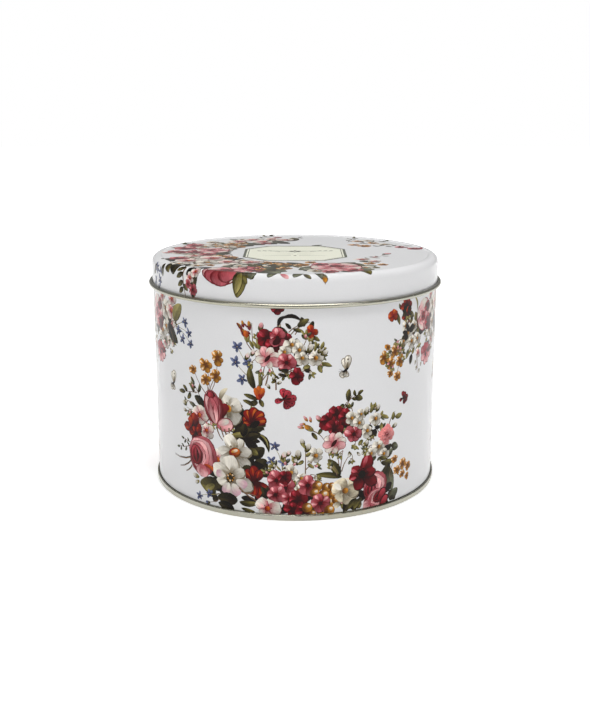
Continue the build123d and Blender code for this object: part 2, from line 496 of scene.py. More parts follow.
def add_map(mesh, points, nodes, map_front, map_back, front_corners):
    """Lays the film out flat for baking, with its back and rims in a corner of their own."""
    corner = np.zeros(len(mesh.loops), np.int32)
    mesh.loops.foreach_get("vertex_index", corner)
    flat = np.concatenate([map_back(points), map_back(nodes)])[corner]
    middle = points[corner[:front_corners]].reshape(-1, 3).mean(1).repeat(3)
    flat[:front_corners] = map_front(points[corner[:front_corners]], middle)
    layer = mesh.uv_layers.new(name="OFBake")
    layer.data.foreach_set("uv", np.stack([flat.real, flat.imag], 1).astype(np.float32).ravel())


def smooth_film(mesh, outward, front_corners, fronts):
    """Gives the film the true surface's normals, and its rims their own."""
    mesh.polygons.foreach_set("use_smooth", np.ones(len(mesh.polygons), bool))
    corner = np.zeros(len(mesh.loops), np.int32)
    mesh.loops.foreach_get("vertex_index", corner)
    normals = np.zeros((len(mesh.loops), 3))
    normals[:front_corners] = outward[corner[:front_corners]]
    for polygon in list(mesh.polygons)[fronts:]:
        normals[polygon.loop_start : polygon.loop_start + polygon.loop_total] = polygon.normal
    mesh.normals_split_custom_set(normals.tolist())


# ---- Wall ----
def wrap_wall(points, depth):
    """Rolls the flat sheet round the wall. Zero is at the front."""
    turn = points.real / WALL_RADIUS
    outward = np.stack([np.sin(turn), -np.cos(turn), np.zeros(turn.size)], 1)
    surface = outward * (WALL_RADIUS + depth)
    surface[:, 2] = points.imag
    return surface, outward


def follow_section(start, heading, moves, depth):
    """Walks along a bent sheet at a depth under its outer face, and gives a station at each step."""
    angle = heading
    here = complex(*start) - 1j * bent(angle) * depth
    stations = [Station(here.real, here.imag, angle)]
    for move in moves:
        if isinstance(move, Run):
            here += bent(angle) * move.length
            stations.append(Station(here.real, here.imag, angle))
            continue
        side = LEFT_TURN if move.angle > 0 else RIGHT_TURN
        centre = here + 1j * bent(angle) * side * (move.radius + side * depth)
        parts = max(2, round(abs(move.angle) / BEND_STEP))
        spoke = here - centre
        for part in range(1, parts + 1):
            turned = angle + move.angle * part / parts
            here = centre + spoke * bent(move.angle * part / parts)
            stations.append(Station(here.real, here.imag, turned))
        angle += move.angle
    return stations


LID_START = (0.0, LID_TOP - PANEL_DROP)
lid_face = follow_section(LID_START, 0.0, LID_FACE, 0.0)
lid_steps = [hypot(b.radius - a.radius, b.height - a.height) for a, b in zip(lid_face, lid_face[1:])]
lid_reach = np.concatenate([[0.0], np.cumsum(lid_steps)])
LID_REACH = lid_reach[-1]
SHOULDER_REACH = LID_REACH - SKIRT_LENGTH  # from the lid's middle, over the shoulder, to its skirt


def wrap_lid(points, depth):
    """Draws the flat disc down over the lid. Depth is measured down from the film's outer face."""
    reach = np.abs(points)
    turn = np.angle(points)
    radius, height, heading = (np.interp(reach, lid_reach, values) for values in zip(*lid_face))
    normal = np.radians(heading) + pi / 2
    radius = radius - depth * np.cos(normal)
    height = height - depth * np.sin(normal)
    around = np.stack([np.cos(turn), np.sin(turn)], 1)
    surface = np.column_stack([around * radius[:, None], height])
    outward = np.column_stack([around * np.cos(normal)[:, None], np.sin(normal)])
    return surface, outward


def on_skirt(around, height):
    """The flat disc's point for a place on the lid's skirt, given round it from the front."""
    reach = SHOULDER_REACH + LID_TOP - SHOULDER_RADIUS - height
    return -1j * reach * bent(degrees(around / LID_RADIUS))


# ---- Flowers and leaves ----
# An open flower: its petals, their shape, the inks of a petal's rim, body and light, and its heart.
Kind = namedtuple("Kind", "petals width point full line main light heart heart_size")
KINDS = {
    "white": Kind(5, 0.90, 0.0, 0.35, "white line", "white", "white light", "amber", 0.32),
    "cream": Kind(5, 1.0, 0.0, 0.30, "white line", "cream", "white light", "amber", 0.26),
    "daisy": Kind(7, 0.56, 0.05, 0.30, "white line", "white", "white light", "orange", 0.28),
    "pearl": Kind(6, 0.66, 0.15, 0.20, "white line", "white", "white light", "amber", 0.20),
    "pink": Kind(5, 0.96, 0.0, 0.30, "maroon", "pink", "rose", "maroon", 0.24),
    "blush": Kind(5, 0.86, 0.0, 0.30, "rose line", "blush", "rose light", "orange", 0.26),
    "crimson": Kind(5, 1.0, 0.05, 0.20, "maroon", "crimson deep", "crimson", "maroon", 0.16),
    "anemone": Kind(6, 0.68, 0.30, 0.25, "maroon", "crimson deep", "crimson light", "black", 0.26),
    "red": Kind(6, 0.74, 0.20, 0.15, "maroon", "red deep", "red", "black", 0.16),
    "rust": Kind(4, 1.05, 0.0, 0.25, "maroon", "red", "rust", "maroon", 0.10),
    "amber": Kind(5, 0.84, 0.0, 0.35, "amber line", "amber", "amber light", "amber line", 0.24),
    "star": Kind(5, 0.48, 0.40, 0.0, "blue line", "blue", "blue light", "white line", 0.16),
    "ruffle": Kind(9, 0.56, 0.0, 0.45, "rose", "salmon line", "salmon", "rose", 0.10),
}


def lit(angle, contrast=0.34):
    """How brightly a petal that points this way is painted."""
    return 1 + contrast * cos(radians(angle - LIGHT_FROM))


def bloom(art, centre, radius, kind, turn=90.0):
    """An open flower, petal over petal, lit from the upper left, with its stamens."""
    look = KINDS[kind]
    shade = radius * 0.055 * (1 - 1j)
    for k in range(look.petals):
        angle = turn + 360 * k / look.petals + art.chance.uniform(-11, 11)
        out = bent(angle)
        reach = radius * art.loose(0.2)
        width = look.width * art.loose(0.2)
        tip = centre + out * reach
        glow = lit(angle) * art.loose(0.1)
        art.petal(centre + shade, tip + shade, width * 1.03, look.line, look.point, look.full, glow=glow)
        art.petal(centre, tip, width, look.main, look.point, look.full, ripple=0.07, glow=glow)
        if glow > LIT_PETAL and radius > LEAST_LIT:
            foot = centre + out * bent(16) * reach * 0.3
            end = centre + out * bent(8) * reach * 0.94
            art.petal(foot, end, width * 0.5, look.light, look.point, look.full, ripple=0.05, glow=glow)
    heart = radius * look.heart_size
    if radius > LEAST_STAMENS:
        for k in range(6):
            art.dot(centre + heart * 1.3 * bent(60 * k + turn), heart * 0.24, look.line)
    art.dot(centre, heart, look.line)
    art.dot(centre + heart * 0.1j, heart * 0.84, look.heart)


def blooms(art, kind, *places):
    """Several flowers of a kind, each given as a place and a radius."""
    for place, radius in places:
        bloom(art, place, radius, kind, art.chance.uniform(0, 72))


def leaf(art, base, tip, width, ink="leaf", bow=0.0):
    """A leaf with a dark rim. Its width is in millimetres."""
    length = abs(tip - base)
    shade = 0.25 - 0.3j
    art.petal(base + shade, tip + shade, width / length, "leaf line", 0.35, -0.15, bow)
    art.petal(base, tip, width / length, ink, 0.35, -0.15, bow, glow=art.loose(0.2))


def leaves(art, ink, *places):
    """Several leaves of an ink, each given as a base, a tip and a width."""
    for base, tip, width in places:
        leaf(art, base, tip, width, ink, art.chance.uniform(-0.08, 0.08))


def bed(art, *places):
    """Dark leaves under a cluster. Each bed is given as its middle and its reach."""
    for middle, reach in places:
        for k in range(8):
            out = bent(art.chance.uniform(0, 360))
            ink = ("leaf dark", "black")[k % 2]
            leaf(art, middle + 0.2 * reach * out, middle + reach * art.loose(0.3) * out, reach * 0.5, ink)


def fringe(art, *places):
    """Small twigs and buds that look out from behind a cluster, given as its middle and its reach."""
    for middle, reach in places:
        for _ in range(9):
            out = bent(art.chance.uniform(0, 360))
            foot, tip = middle + reach * 0.6 * out, middle + reach * art.loose(0.2) * out
            art.stroke(foot, tip + 2.2 * out, 0.45, "stem", art.chance.uniform(-0.2, 0.2))
            for turn, ink in ((52, "leaf pale"), (-48, "leaf grey"), (4, "leaf pale")):
                leaf(art, tip, tip + 2.7 * out * bent(turn) * art.loose(0.3), 1.25, ink)
            art.petal(tip - out, tip + 0.8 * out, 0.7, "white" if art.chance.random() < 0.6 else "rose")


def stems(art, *runs, width=0.55, ink="stem"):
    """Stems, each given as its two ends."""
    for base, tip in runs:
        art.stroke(base, tip, width, ink, bow=art.chance.uniform(-0.1, 0.1))


def bud(art, base, tip, ink, cup="leaf", width=0.56):
    """A closed bud in its green cup."""
    along = tip - base
    shade = 0.15 - 0.2j
    art.petal(base + shade, tip + shade, width * 1.06, "leaf line", 0.1, 0.1)
    art.petal(base + along * 0.1, tip, width, ink, 0.1, 0.15)
    art.petal(base, base + along * bent(22) * 0.55, 0.42, cup, 0.3)
    art.petal(base, base + along * bent(-22) * 0.5, 0.42, cup, 0.3)


def buds(art, ink, *places):
    """Several buds of an ink, each given as its base and its tip."""
    for base, tip in places:
        bud(art, base, tip, ink)


def sprig(art, base, tip, count, length, ink="leaf", bow=0.0, width=0.5):
    """A stem with leaves in turn on each side, and one at its tip."""
    along = tip - base
    art.stroke(base, tip, width, "stem", bow)
    for k in range(count):
        share = (k + 1) / (count + 0.6)
        foot = base + along * (share + 4j * bow * share * (1 - share))
        side = 1 if k % 2 else -1
        out = along / abs(along) * bent(side * art.chance.uniform(38, 62))
        leaf(art, foot, foot + out * length * art.loose(0.15), length * 0.42, ink, side * 0.1)
    leaf(art, tip, tip + along / abs(along) * length, length * 0.42, ink, bow)


def star_spray(art, root, *places):
    """Blue star flowers on thin stems from one root."""
    stems(art, *((root, place) for place, _ in places), width=0.4, ink="stem green")
    blooms(art, "star", *places)


def folds(art, centre, radius, count, size, line, ink, turn):
    """A ring of petals folded round a heart."""
    for k in range(count):
        middle = turn + 360 * k / count + art.chance.uniform(-8, 8)
        span = 250 / count
        start, end = (centre + radius * bent(middle + side * span) for side in (-0.62, 0.62))
        art.petal(start, end, size * 1.14, line, 0.0, bow=-0.26)
        art.petal(start, end, size, ink, 0.0, bow=-0.27)


def rose(art, centre, radius, turn=90.0, heart="crimson deep"):
    """A full rose, whose heart leans towards its turn."""
    lean = bent(turn) * radius
    for k in range(5):
        out = bent(turn + 180 + 72 * k + art.chance.uniform(-8, 8))
        art.petal(centre, centre + out * radius * 1.04, 1.12, "rose line", 0.0, 0.35)
        art.petal(centre, centre + out * radius, 1.04, "rose", 0.0, 0.35, ripple=0.015)
        art.petal(centre + out * radius * 0.5, centre + out * radius * 0.97, 1.5, "rose light", 0.0, 0.2)
    folds(art, centre + lean * 0.06, radius * 0.52, 5, 0.62, "rose line", "rose fold", turn + 20)
    folds(art, centre + lean * 0.14, radius * 0.34, 4, 0.66, "rose line", "blush fold", turn)
    art.dot(centre + lean * 0.2, radius * 0.30, "rose line")
    art.dot(centre + lean * 0.2, radius * 0.27, heart)
    folds(art, centre + lean * 0.2, radius * 0.17, 3, 0.55, "maroon", "crimson fold", turn + 40)


def cup_rose(art, centre, radius, toward, heart="crimson", up=90.0):
    """A full rose from the side: cups of petals, one in another, round a heart that leans one way."""
    lean = bent(toward) * radius
    tall = bent(up) * radius * 1.12
    for share, ink, glow in (
        (1.0, "rose deep", 1.1), (0.88, "rose", 1.1), (0.74, "rose fold", 1.05), (0.60, "blush fold", 1.0),
        (0.50, "rose deep", 1.0),
    ):
        middle = centre + lean * (1 - share) * 0.85
        half = tall * share * bent(art.chance.uniform(-14, 14))
        rim = "rose line" if share > 0.9 else "rose deep"
        art.petal(middle - half * 1.03, middle + half * 1.03, 0.86, rim, 0.0, 0.1, ripple=0.03)
        art.petal(middle - half, middle + half, 0.84, ink, 0.0, 0.1, ripple=0.05, glow=glow)
    side = 1 if (lean * tall.conjugate()).imag > 0 else -1
    for k in range(5):
        foot = centre - tall * (0.70 - 0.08 * k) + lean * 0.08 * k
        art.stroke(foot, foot + tall * (1.2 - 0.1 * k), 0.5, "rose", -side * (0.38 - 0.06 * k), 0.8)
    core, small = centre + lean * 0.46, tall * 0.5
    art.petal(core - small, core + small, 0.80, "maroon")
    art.petal(core - small * 0.94, core + small * 0.94, 0.74, heart)
    for bow, ink in ((0.30, "crimson light"), (0.14, "maroon"), (-0.04, "crimson"), (-0.2, "crimson deep")):
        art.petal(core - small * 0.8, core + small * 0.8, 0.22, ink, 0.3, 0.0, -side * bow)
    for turn, reach, ink in ((150, 0.60, "rose"), (-150, 0.56, "rose deep"), (180, 0.62, "rose")):
        foot = centre - tall * 0.42
        tip = foot + tall * bent(turn) * reach
        art.petal(foot, tip + 0.02 * tall, 0.95, "rose line", 0.0, 0.2)
        art.petal(foot, tip, 0.9, ink, 0.0, 0.2, ripple=0.02)


def tulip(art, base, tip, heart="crimson"):
    """A half open flower from the side: an egg of striped petals with a deep cup at its top."""
    along = tip - base
    for turn, reach, width, ink in ((-22, 0.80, 0.48, "crimson deep"), (-15, 0.84, 0.40, "crimson")):
        art.petal(base, base + along * bent(turn) * reach, width, ink, 0.0, 0.1, ripple=0.03)
    art.petal(base - along * 0.01, tip + along * 0.02, 0.62, "rose line")
    art.petal(base, tip, 0.59, "rose deep")
    art.petal(base, base + along * bent(7) * 0.97, 0.34, "rose", 0.0, 0.1, -0.16)
    art.petal(base + along * 0.66, base + along * 0.98, 1.1, "maroon")
    art.petal(base + along * 0.72, base + along * 0.96, 0.9, heart)
    for turn, reach, width, ink in (
        (11, 0.86, 0.30, "rose"), (-12, 0.82, 0.28, "rose deep"), (1, 0.78, 0.42, "blush fold"),
    ):
        art.petal(base, base + along * bent(turn) * (reach + 0.02), width + 0.03, "rose line", 0.1, 0.2)
        art.petal(base, base + along * bent(turn) * reach, width, ink, 0.1, 0.2, glow=0.95)
    for turn in (-14, -9, -4, 1, 6, 11):
        art.stroke(base + along * 0.1, base + along * bent(turn) * 0.70, 0.4, "rose line", -0.01 * turn, 0.8)


def lily(art, foot, *petals):
    """A lily's open petals round its foot, each given as a direction, a reach and an ink."""
    for out, reach, ink in petals:
        art.petal(foot, foot + reach * 1.08 * bent(out), 0.70, "rose line", 0.1, 0.2)
        glow = lit(out, 0.16)
        art.petal(foot, foot + reach * 1.05 * bent(out), 0.66, ink, 0.1, 0.2, ripple=0.05, glow=glow)


def berries(art, *places):
    """Round amber berries with a light on each."""
    for centre, radius in places:
        art.dot(centre, radius * 1.1, "amber line")
        art.dot(centre, radius, "amber")
        art.petal(centre - 0.2 * radius, centre + radius * (0.65 + 0.5j), 0.8, "amber light")
        art.dot(centre + radius * (0.2 + 0.35j), radius * 0.2, "white light")


def butterfly(art, centre, size, wings, ink, line):
    """A butterfly at rest. A wing is an angle, a length and a width, in shares of its size."""
    for angle, reach, width in wings:
        tip = centre + size * reach * bent(angle)
        share = width / reach
        art.petal(centre, tip + 0.05 * size * bent(angle), share * 1.06, line, 0.0, 0.5)
        art.petal(centre, tip, share, ink, 0.0, 0.5, ripple=0.04, glow=lit(angle))
        art.petal(centre + (tip - centre) * 0.68, centre + (tip - centre) * 0.84, 0.8, line)
        art.petal(centre, centre + (tip - centre) * 0.6, share * 0.5, line, 0.3, 0.3)
    art.petal(centre - size * (0.34 + 0.12j), centre + size * (0.16 + 0.2j), 0.34, "black", 0.2)
    for side in (150, 185):
        art.stroke(centre - size * 0.3, centre - size * 0.3 + size * 0.34 * bent(side), 0.2, "black")


GREY_WINGS = ((104, 0.95, 0.46), (84, 1.10, 0.50), (222, 0.62, 0.44), (262, 0.46, 0.40))
RED_WINGS = (
    (196, 0.86, 0.44), (100, 1.0, 0.56), (62, 0.9, 0.6), (-66, 0.92, 0.66), (-28, 1.0, 0.62), (8, 1.06, 0.60),
)


# ---- The wall's garland, in millimetres round from the front and up from the floor ----
def draw_tulip_spray(art):
    """The left spray: amber flowers and a tulip over a red flower and a dark knot of leaves."""
    stems(art, (-46+60j, -54+71j), (-45+60j, -46+75j), (-44+60j, -39+78j), (-45+62j, -46+66j),
          (-44+62j, -40+70j))
    blooms(art, "amber", (-54.5+71.5j, 2.7), (-46+75j, 3.6), (-39+79.5j, 3.7), (-40+70.5j, 3.6),
           (-46.5+67.5j, 3.4))
    sprig(art, -52+60j, -61+59j, 3, 5.0)
    sprig(art, -50+58j, -54+64j, 2, 4.2)
    leaves(art, "leaf dark", (-48+54j, -54+58j, 4.5), (-49+50j, -56+53j, 3.5), (-35+56j, -29+60j, 3.0))
    leaves(art, "leaf grey", (-53+52j, -58+54j, 2.2), (-52+47j, -57+45j, 2.2))
    buds(art, "white", (-60+52j, -63.5+53.5j), (-60+49j, -63+49.5j), (-56+48j, -58.5+50.5j))
    stems(art, (-52+47j, -60+51j), (-54+46j, -61+49j), width=0.4)
    fringe(art, (-50+54j, 10.0), (-42+40j, 12.0), (-28+46j, 10.0))
    bed(art, (-46+54j, 6.0), (-34+55j, 7.0), (-24+50j, 8.0), (-54+42j, 5.0))
    leaves(art, "leaf dark", (-24+44j, -27+57j, 7.0), (-30+45j, -15+47j, 6.5), (-31+40j, -22+46j, 6.0))
    leaves(art, "black", (-30+42j, -17+40j, 4.2), (-24+50j, -30+53j, 4.0))
    bloom(art, -33.4+54.5j, 7.2, "white", 100)
    art.petal(-38+58j, -33.5+65j, 0.32, "cream", 0.3, bow=0.12)
    art.dot(-34+55j, 1.5, "red deep")
    bloom(art, -51+48.5j, 5.6, "blush", 80)
    art.petal(-40.5+47.5j, -34+57j, 0.46, "crimson deep", 0.0, 0.1)
    tulip(art, -40.5+46j, -44+62.5j)
    art.petal(-40+45.4j, -30.6+47j, 0.78, "rose line", 0.0, 0.1)
    art.petal(-39.8+45.4j, -31+47j, 0.74, "rose fold", 0.0, 0.1)
    art.petal(-39+46j, -33+48.6j, 0.5, "rose light", 0.0, 0.1, glow=0.9)
    stems(art, (-38+45j, -35+36j), (-35.6+44j, -34+36j), (-33+45j, -33+37j), (-40+45j, -36.6+38j),
          width=0.9)
    bloom(art, -46.5+41.5j, 4.2, "blush", 30)
    blooms(art, "red", (-56+42j, 6.2), (-53.5+38.5j, 4.6))
    art.petal(-58+41j, -57+46.5j, 0.55, "red", 0.0, 0.2)
    leaves(art, "leaf pale", (-34+40.5j, -17+44.5j, 2.8))
    art.petal(-21+43.5j, -12.6+34.5j, 0.26, "leaf dark", 0.4, bow=0.24)
    art.petal(-20+44j, -13+37j, 0.10, "leaf pale", 0.4, bow=0.22)
    for out, reach in ((150, 6.0), (118, 7.8), (84, 8.6), (52, 8.4), (22, 7.4), (180, 5.0)):
        foot = -20.5 + 48.5j
        art.petal(foot, foot + reach * bent(out), 0.62, "maroon", 0.05, 0.3)
        art.petal(foot, foot + reach * 0.97 * bent(out), 0.56, "red deep", 0.05, 0.3, ripple=0.05)
        art.petal(foot + 2 * bent(out), foot + reach * 0.9 * bent(out - 5), 0.34, "rust", 0.1, 0.3,
                  glow=0.85)
    art.petal(-22+46.5j, -17+50j, 0.5, "black", 0.2)


def draw_rose_knot(art):
    """The big rose, the daisy and the pearl flower, low on the left, with the red bell beside them."""
    bed(art, (-22+26j, 10.0), (-26+40j, 8.0), (-40+10j, 7.0), (-20+14j, 8.0), (-38+20j, 9.0))
    for base, tip in ((-57+25.5j, -72+23j), (-57+24j, -67+18j), (-57+21j, -62+16.5j)):
        art.stroke(base, tip, 1.0, "stem", bow=0.08, taper=0.8)
        art.stroke(base + 0.4j, tip + 0.5j, 0.35, "leaf line", bow=0.08)
    sprig(art, -57+32j, -67+29j, 4, 2.6, "leaf grey", 0.08)
    sprig(art, -57+33j, -63+34j, 2, 2.4, "leaf grey", 0.05)
    leaves(art, "leaf dark", (-20+25j, -14+31j, 7.5), (-21+31j, -15+37j, 5.5), (-22+22j, -13.5+24.5j, 5.0))
    leaves(art, "black", (-24+27j, -15+27.5j, 4.6), (-27+10j, -19+9j, 3.0), (-46+9.5j, -50+14j, 3.0))
    leaves(art, "leaf", (-22+36j, -18+33j, 3.4))
    bloom(art, -40+27.5j, 6.4, "blush", 20)
    cup_rose(art, -49.5+27.5j, 9.4, 180, up=94)
    art.petal(-48.5+23.5j, -41+20.5j, 0.24, "rust", 0.4, bow=0.1)
    bloom(art, -30+33j, 9.4, "daisy", 70)
    art.petal(-33.4+31.8j, -26.8+33.8j, 0.74, "amber line")
    art.petal(-33+32.2j, -27.4+34j, 0.66, "orange")
    art.petal(-32+32.8j, -28.4+34.4j, 0.4, "amber light")
    leaves(art, "leaf line", (-26+24j, -22+27j, 3.5))
    for out, reach in ((128, 7.0), (96, 7.6), (64, 6.4), (-40, 8.2), (-72, 8.6), (-100, 7.0)):
        foot = -19.5 + 19j
        reach *= 1.14
        art.petal(foot, foot + reach * bent(out), 0.64, "maroon", 0.15, 0.2)
        art.petal(foot, foot + reach * 0.95 * bent(out), 0.58, "red deep", 0.15, 0.2)
        art.petal(foot + 2 * bent(out), foot + reach * 0.84 * bent(out + 6), 0.26, "red", 0.15, 0.2)
    bloom(art, -32.5+19.5j, 10.4, "pearl", 92)
    for turn, reach in ((-20, 9.4), (-66, 9.8), (-112, 9.6), (170, 8.6)):
        out = bent(turn)
        foot, tip = -32.5 + 19.5j + 3 * out, -32.5 + 19.5j + reach * out
        art.petal(foot, tip, 0.74, "lavender", 0.0, 0.3, ripple=0.04)
    art.petal(-34+17j, -31.4+22j, 0.8, "leaf line")
    for k in range(7):
        art.dot(-32.6 + 19.6j + 1.7 * bent(51 * k), 0.55, "amber light" if k % 2 else "amber")
    bud(art, -52+16j, -56.5+16.5j, "white", "leaf pale")
    bud(art, -52+14j, -55+12.5j, "white", "leaf pale")
    leaf(art, -40+16j, -51.5+13j, 8.6, "leaf", 0.1)
    art.petal(-42+14j, -48+10.5j, 0.5, "leaf pale", 0.2)
    leaves(art, "leaf dark", (-29+8.5j, -40.5+8j, 6.5), (-31+3.5j, -40+5j, 4.6))
    leaves(art, "leaf", (-28+7.5j, -18.5+8j, 3.0), (-27+4.5j, -20+3.6j, 1.8))
    leaf(art, -17+9.5j, -13.4+17j, 3.8, "leaf dark", -0.1)
    stems(art, (-28+15j, -18+8.5j), (-25+12.5j, -19+11.5j), width=0.9)
    star_spray(art, -39+10j, (-52+6.2j, 2.6), (-45.5+8.6j, 2.5))
    stems(art, (-39+7j, -47+4j), width=0.4)
    buds(art, "blue", (-45+4j, -48+3.8j))


def draw_crimson_spray(art):
    """The upper bouquet of crimson and white blossom, with its lily and the orange tulip below it."""
    leaf(art, -9.5+104j, -6+106j, 3.0, "leaf dark")
    bloom(art, -8.4+105.8j, 3.8, "crimson", -90)
    art.petal(-6.6+92.4j, -7.4+100j, 0.26, "amber line", 0.2, bow=0.06)
    art.petal(-6.6+92.6j, -7.4+99j, 0.22, "amber light", 0.2, bow=0.06)
    art.petal(-7.8+96.8j, -4.2+101.8j, 0.34, "black", 0.1, bow=0.2)
    art.petal(-6.4+100.4j, 3+99.6j, 0.22, "black", 0.2, bow=0.2)
    stems(art, (-16+68j, -14+79j), (-14+68j, -12+78j), (-9+66j, -11+77j), (-18+67j, -13+74j), width=0.8)
    stems(art, (-20+84j, -25.5+96j), (-19.5+84j, -20.5+98j), (-17+84j, -16+96j), width=0.6)
    stems(art, (-3+94j, 4+98j), (-2+93j, 7+99j), (0+93j, 3+99j), (4+82j, 12+85j), (5+80j, 16+79j),
          (-2+75j, -8+74j))
    for base, tip in (
        (-23.4+91j, -26.2+95.6j), (-25.2+94.6j, -28+97.6j), (-21.6+94.4j, -22+99j), (-24.6+95.6j, -25.4+99j),
    ):
        bud(art, base, tip, "amber", "rose line", 0.4)
    bud(art, -22.6+88.6j, -23.8+94.4j, "orange", "leaf pale", 0.5)
    for foot in (-25+93j, -23+96j, -21.4+92.6j, -27+96j):
        leaf(art, foot, foot + 1.6j - 1.2, 0.9, "rose line")
    leaves(art, "leaf pale", (-20+86j, -22+90j, 1.6), (-18+86j, -20.5+89.5j, 1.6),
           (-17+85j, -18.5+91j, 1.8))
    bud(art, -17+94.5j, -15.5+98.5j, "rose")
    leaves(art, "leaf dark", (-2+96j, -4.5+98.5j, 1.8), (4+97j, 3+101.5j, 2.8), (7+95j, 8.5+99.5j, 2.2))
    leaves(art, "leaf", (1+97j, 6.4+100.6j, 2.6), (-1+95.6j, 4+94.6j, 1.8), (8+92j, 11.5+90j, 2.0),
           (3+93j, 6+91j, 2.0))
    bloom(art, 7.5+94.2j, 3.3, "rust", 90)
    star_spray(art, -20+70j, (-28+86j, 2.9), (-29+78.4j, 2.9), (-22.5+78.6j, 2.9), (-25.5+70.5j, 2.9))
    buds(art, "rose light", (-24+80j, -22+83.6j), (-21+82j, -19.5+85.4j))
    leaf(art, -19.5+66j, -21.8+77j, 3.6, "leaf", 0.08)
    leaf(art, -17+67j, -17.5+75j, 1.8, "leaf pale", -0.08)
    bed(art, (-9+88j, 7.5), (-2+83j, 7.0), (-10+83j, 6.0), (3+78j, 5.0))
    fringe(art, (3+82j, 10.0), (-13+84j, 8.0))
    leaves(art, "leaf dark", (-10+96j, -3+92j, 4.0), (-15+88j, -4+87j, 4.5), (-6+84j, -2+86j, 3.2),
           (-8+76j, -2+78j, 3.2))
    blooms(art, "crimson", (-13+90.6j, 4.6), (-4.4+90.4j, 4.2), (-9+87.4j, 4.6))
    bloom(art, -8.2+91.6j, 4.0, "pink", 100)
    art.petal(-10.5+88j, -6.6+91j, 0.6, "maroon", 0.2)
    lily(art, -13+81j, (150, 6.4, "blush"), (112, 6.2, "rose"), (70, 5.8, "blush"), (20, 6.0, "blush"),
         (-20, 6.6, "rose"), (-70, 4.4, "blush"), (-130, 4.4, "rose"), (185, 5.6, "blush"))
    art.petal(-14.4+79.4j, -11.6+83j, 0.4, "maroon", 0.3)
    blooms(art, "white", (-1.5+88j, 3.6), (-5+84.5j, 3.2), (2+85.5j, 3.4), (3.4+81.6j, 3.4))
    bloom(art, -4+79.5j, 4.3, "pink", 60)
    bloom(art, 9.8+81.5j, 4.0, "white", 85)
    buds(art, "white", (6+84j, 8+88.5j), (10.5+84j, 13.5+87j), (12+83j, 15.5+85j), (5+77j, 3+75.5j))
    leaves(art, "leaf pale", (12+86j, 13.5+89.5j, 1.5), (12.5+79j, 17.5+77.5j, 2.0),
           (11+78j, 12.6+74.5j, 2.2), (7+78j, 4+77j, 2.0), (9+85j, 9.6+89j, 1.2))
    sprig(art, -1+76j, -9+71j, 3, 2.8, "leaf")
    leaves(art, "leaf dark", (-3+76j, -7+76j, 1.8), (-4+73j, -8+73.6j, 1.6))
    bloom(art, 1.2+73j, 3.8, "crimson", 100)
    buds(art, "white", (-12+66.5j, -13.4+69j), (-10.5+70.5j, -10+73j), (-8.5+69j, -6.5+70.5j))
    leaves(art, "leaf", (-18+61j, -25+63j, 2.2), (-18+60j, -23+58.4j, 2.6), (-17+61j, -15.4+57.5j, 2.4),
           (-20+58j, -25.5+60j, 2.0))
    bud(art, -17.4+60.6j, -17.2+67.6j, "orange", "orange")
    art.petal(-17.2+61.4j, -19.4+66.6j, 0.5, "rust", 0.1)
    art.petal(-17+61.4j, -14.8+66.8j, 0.5, "orange", 0.1)


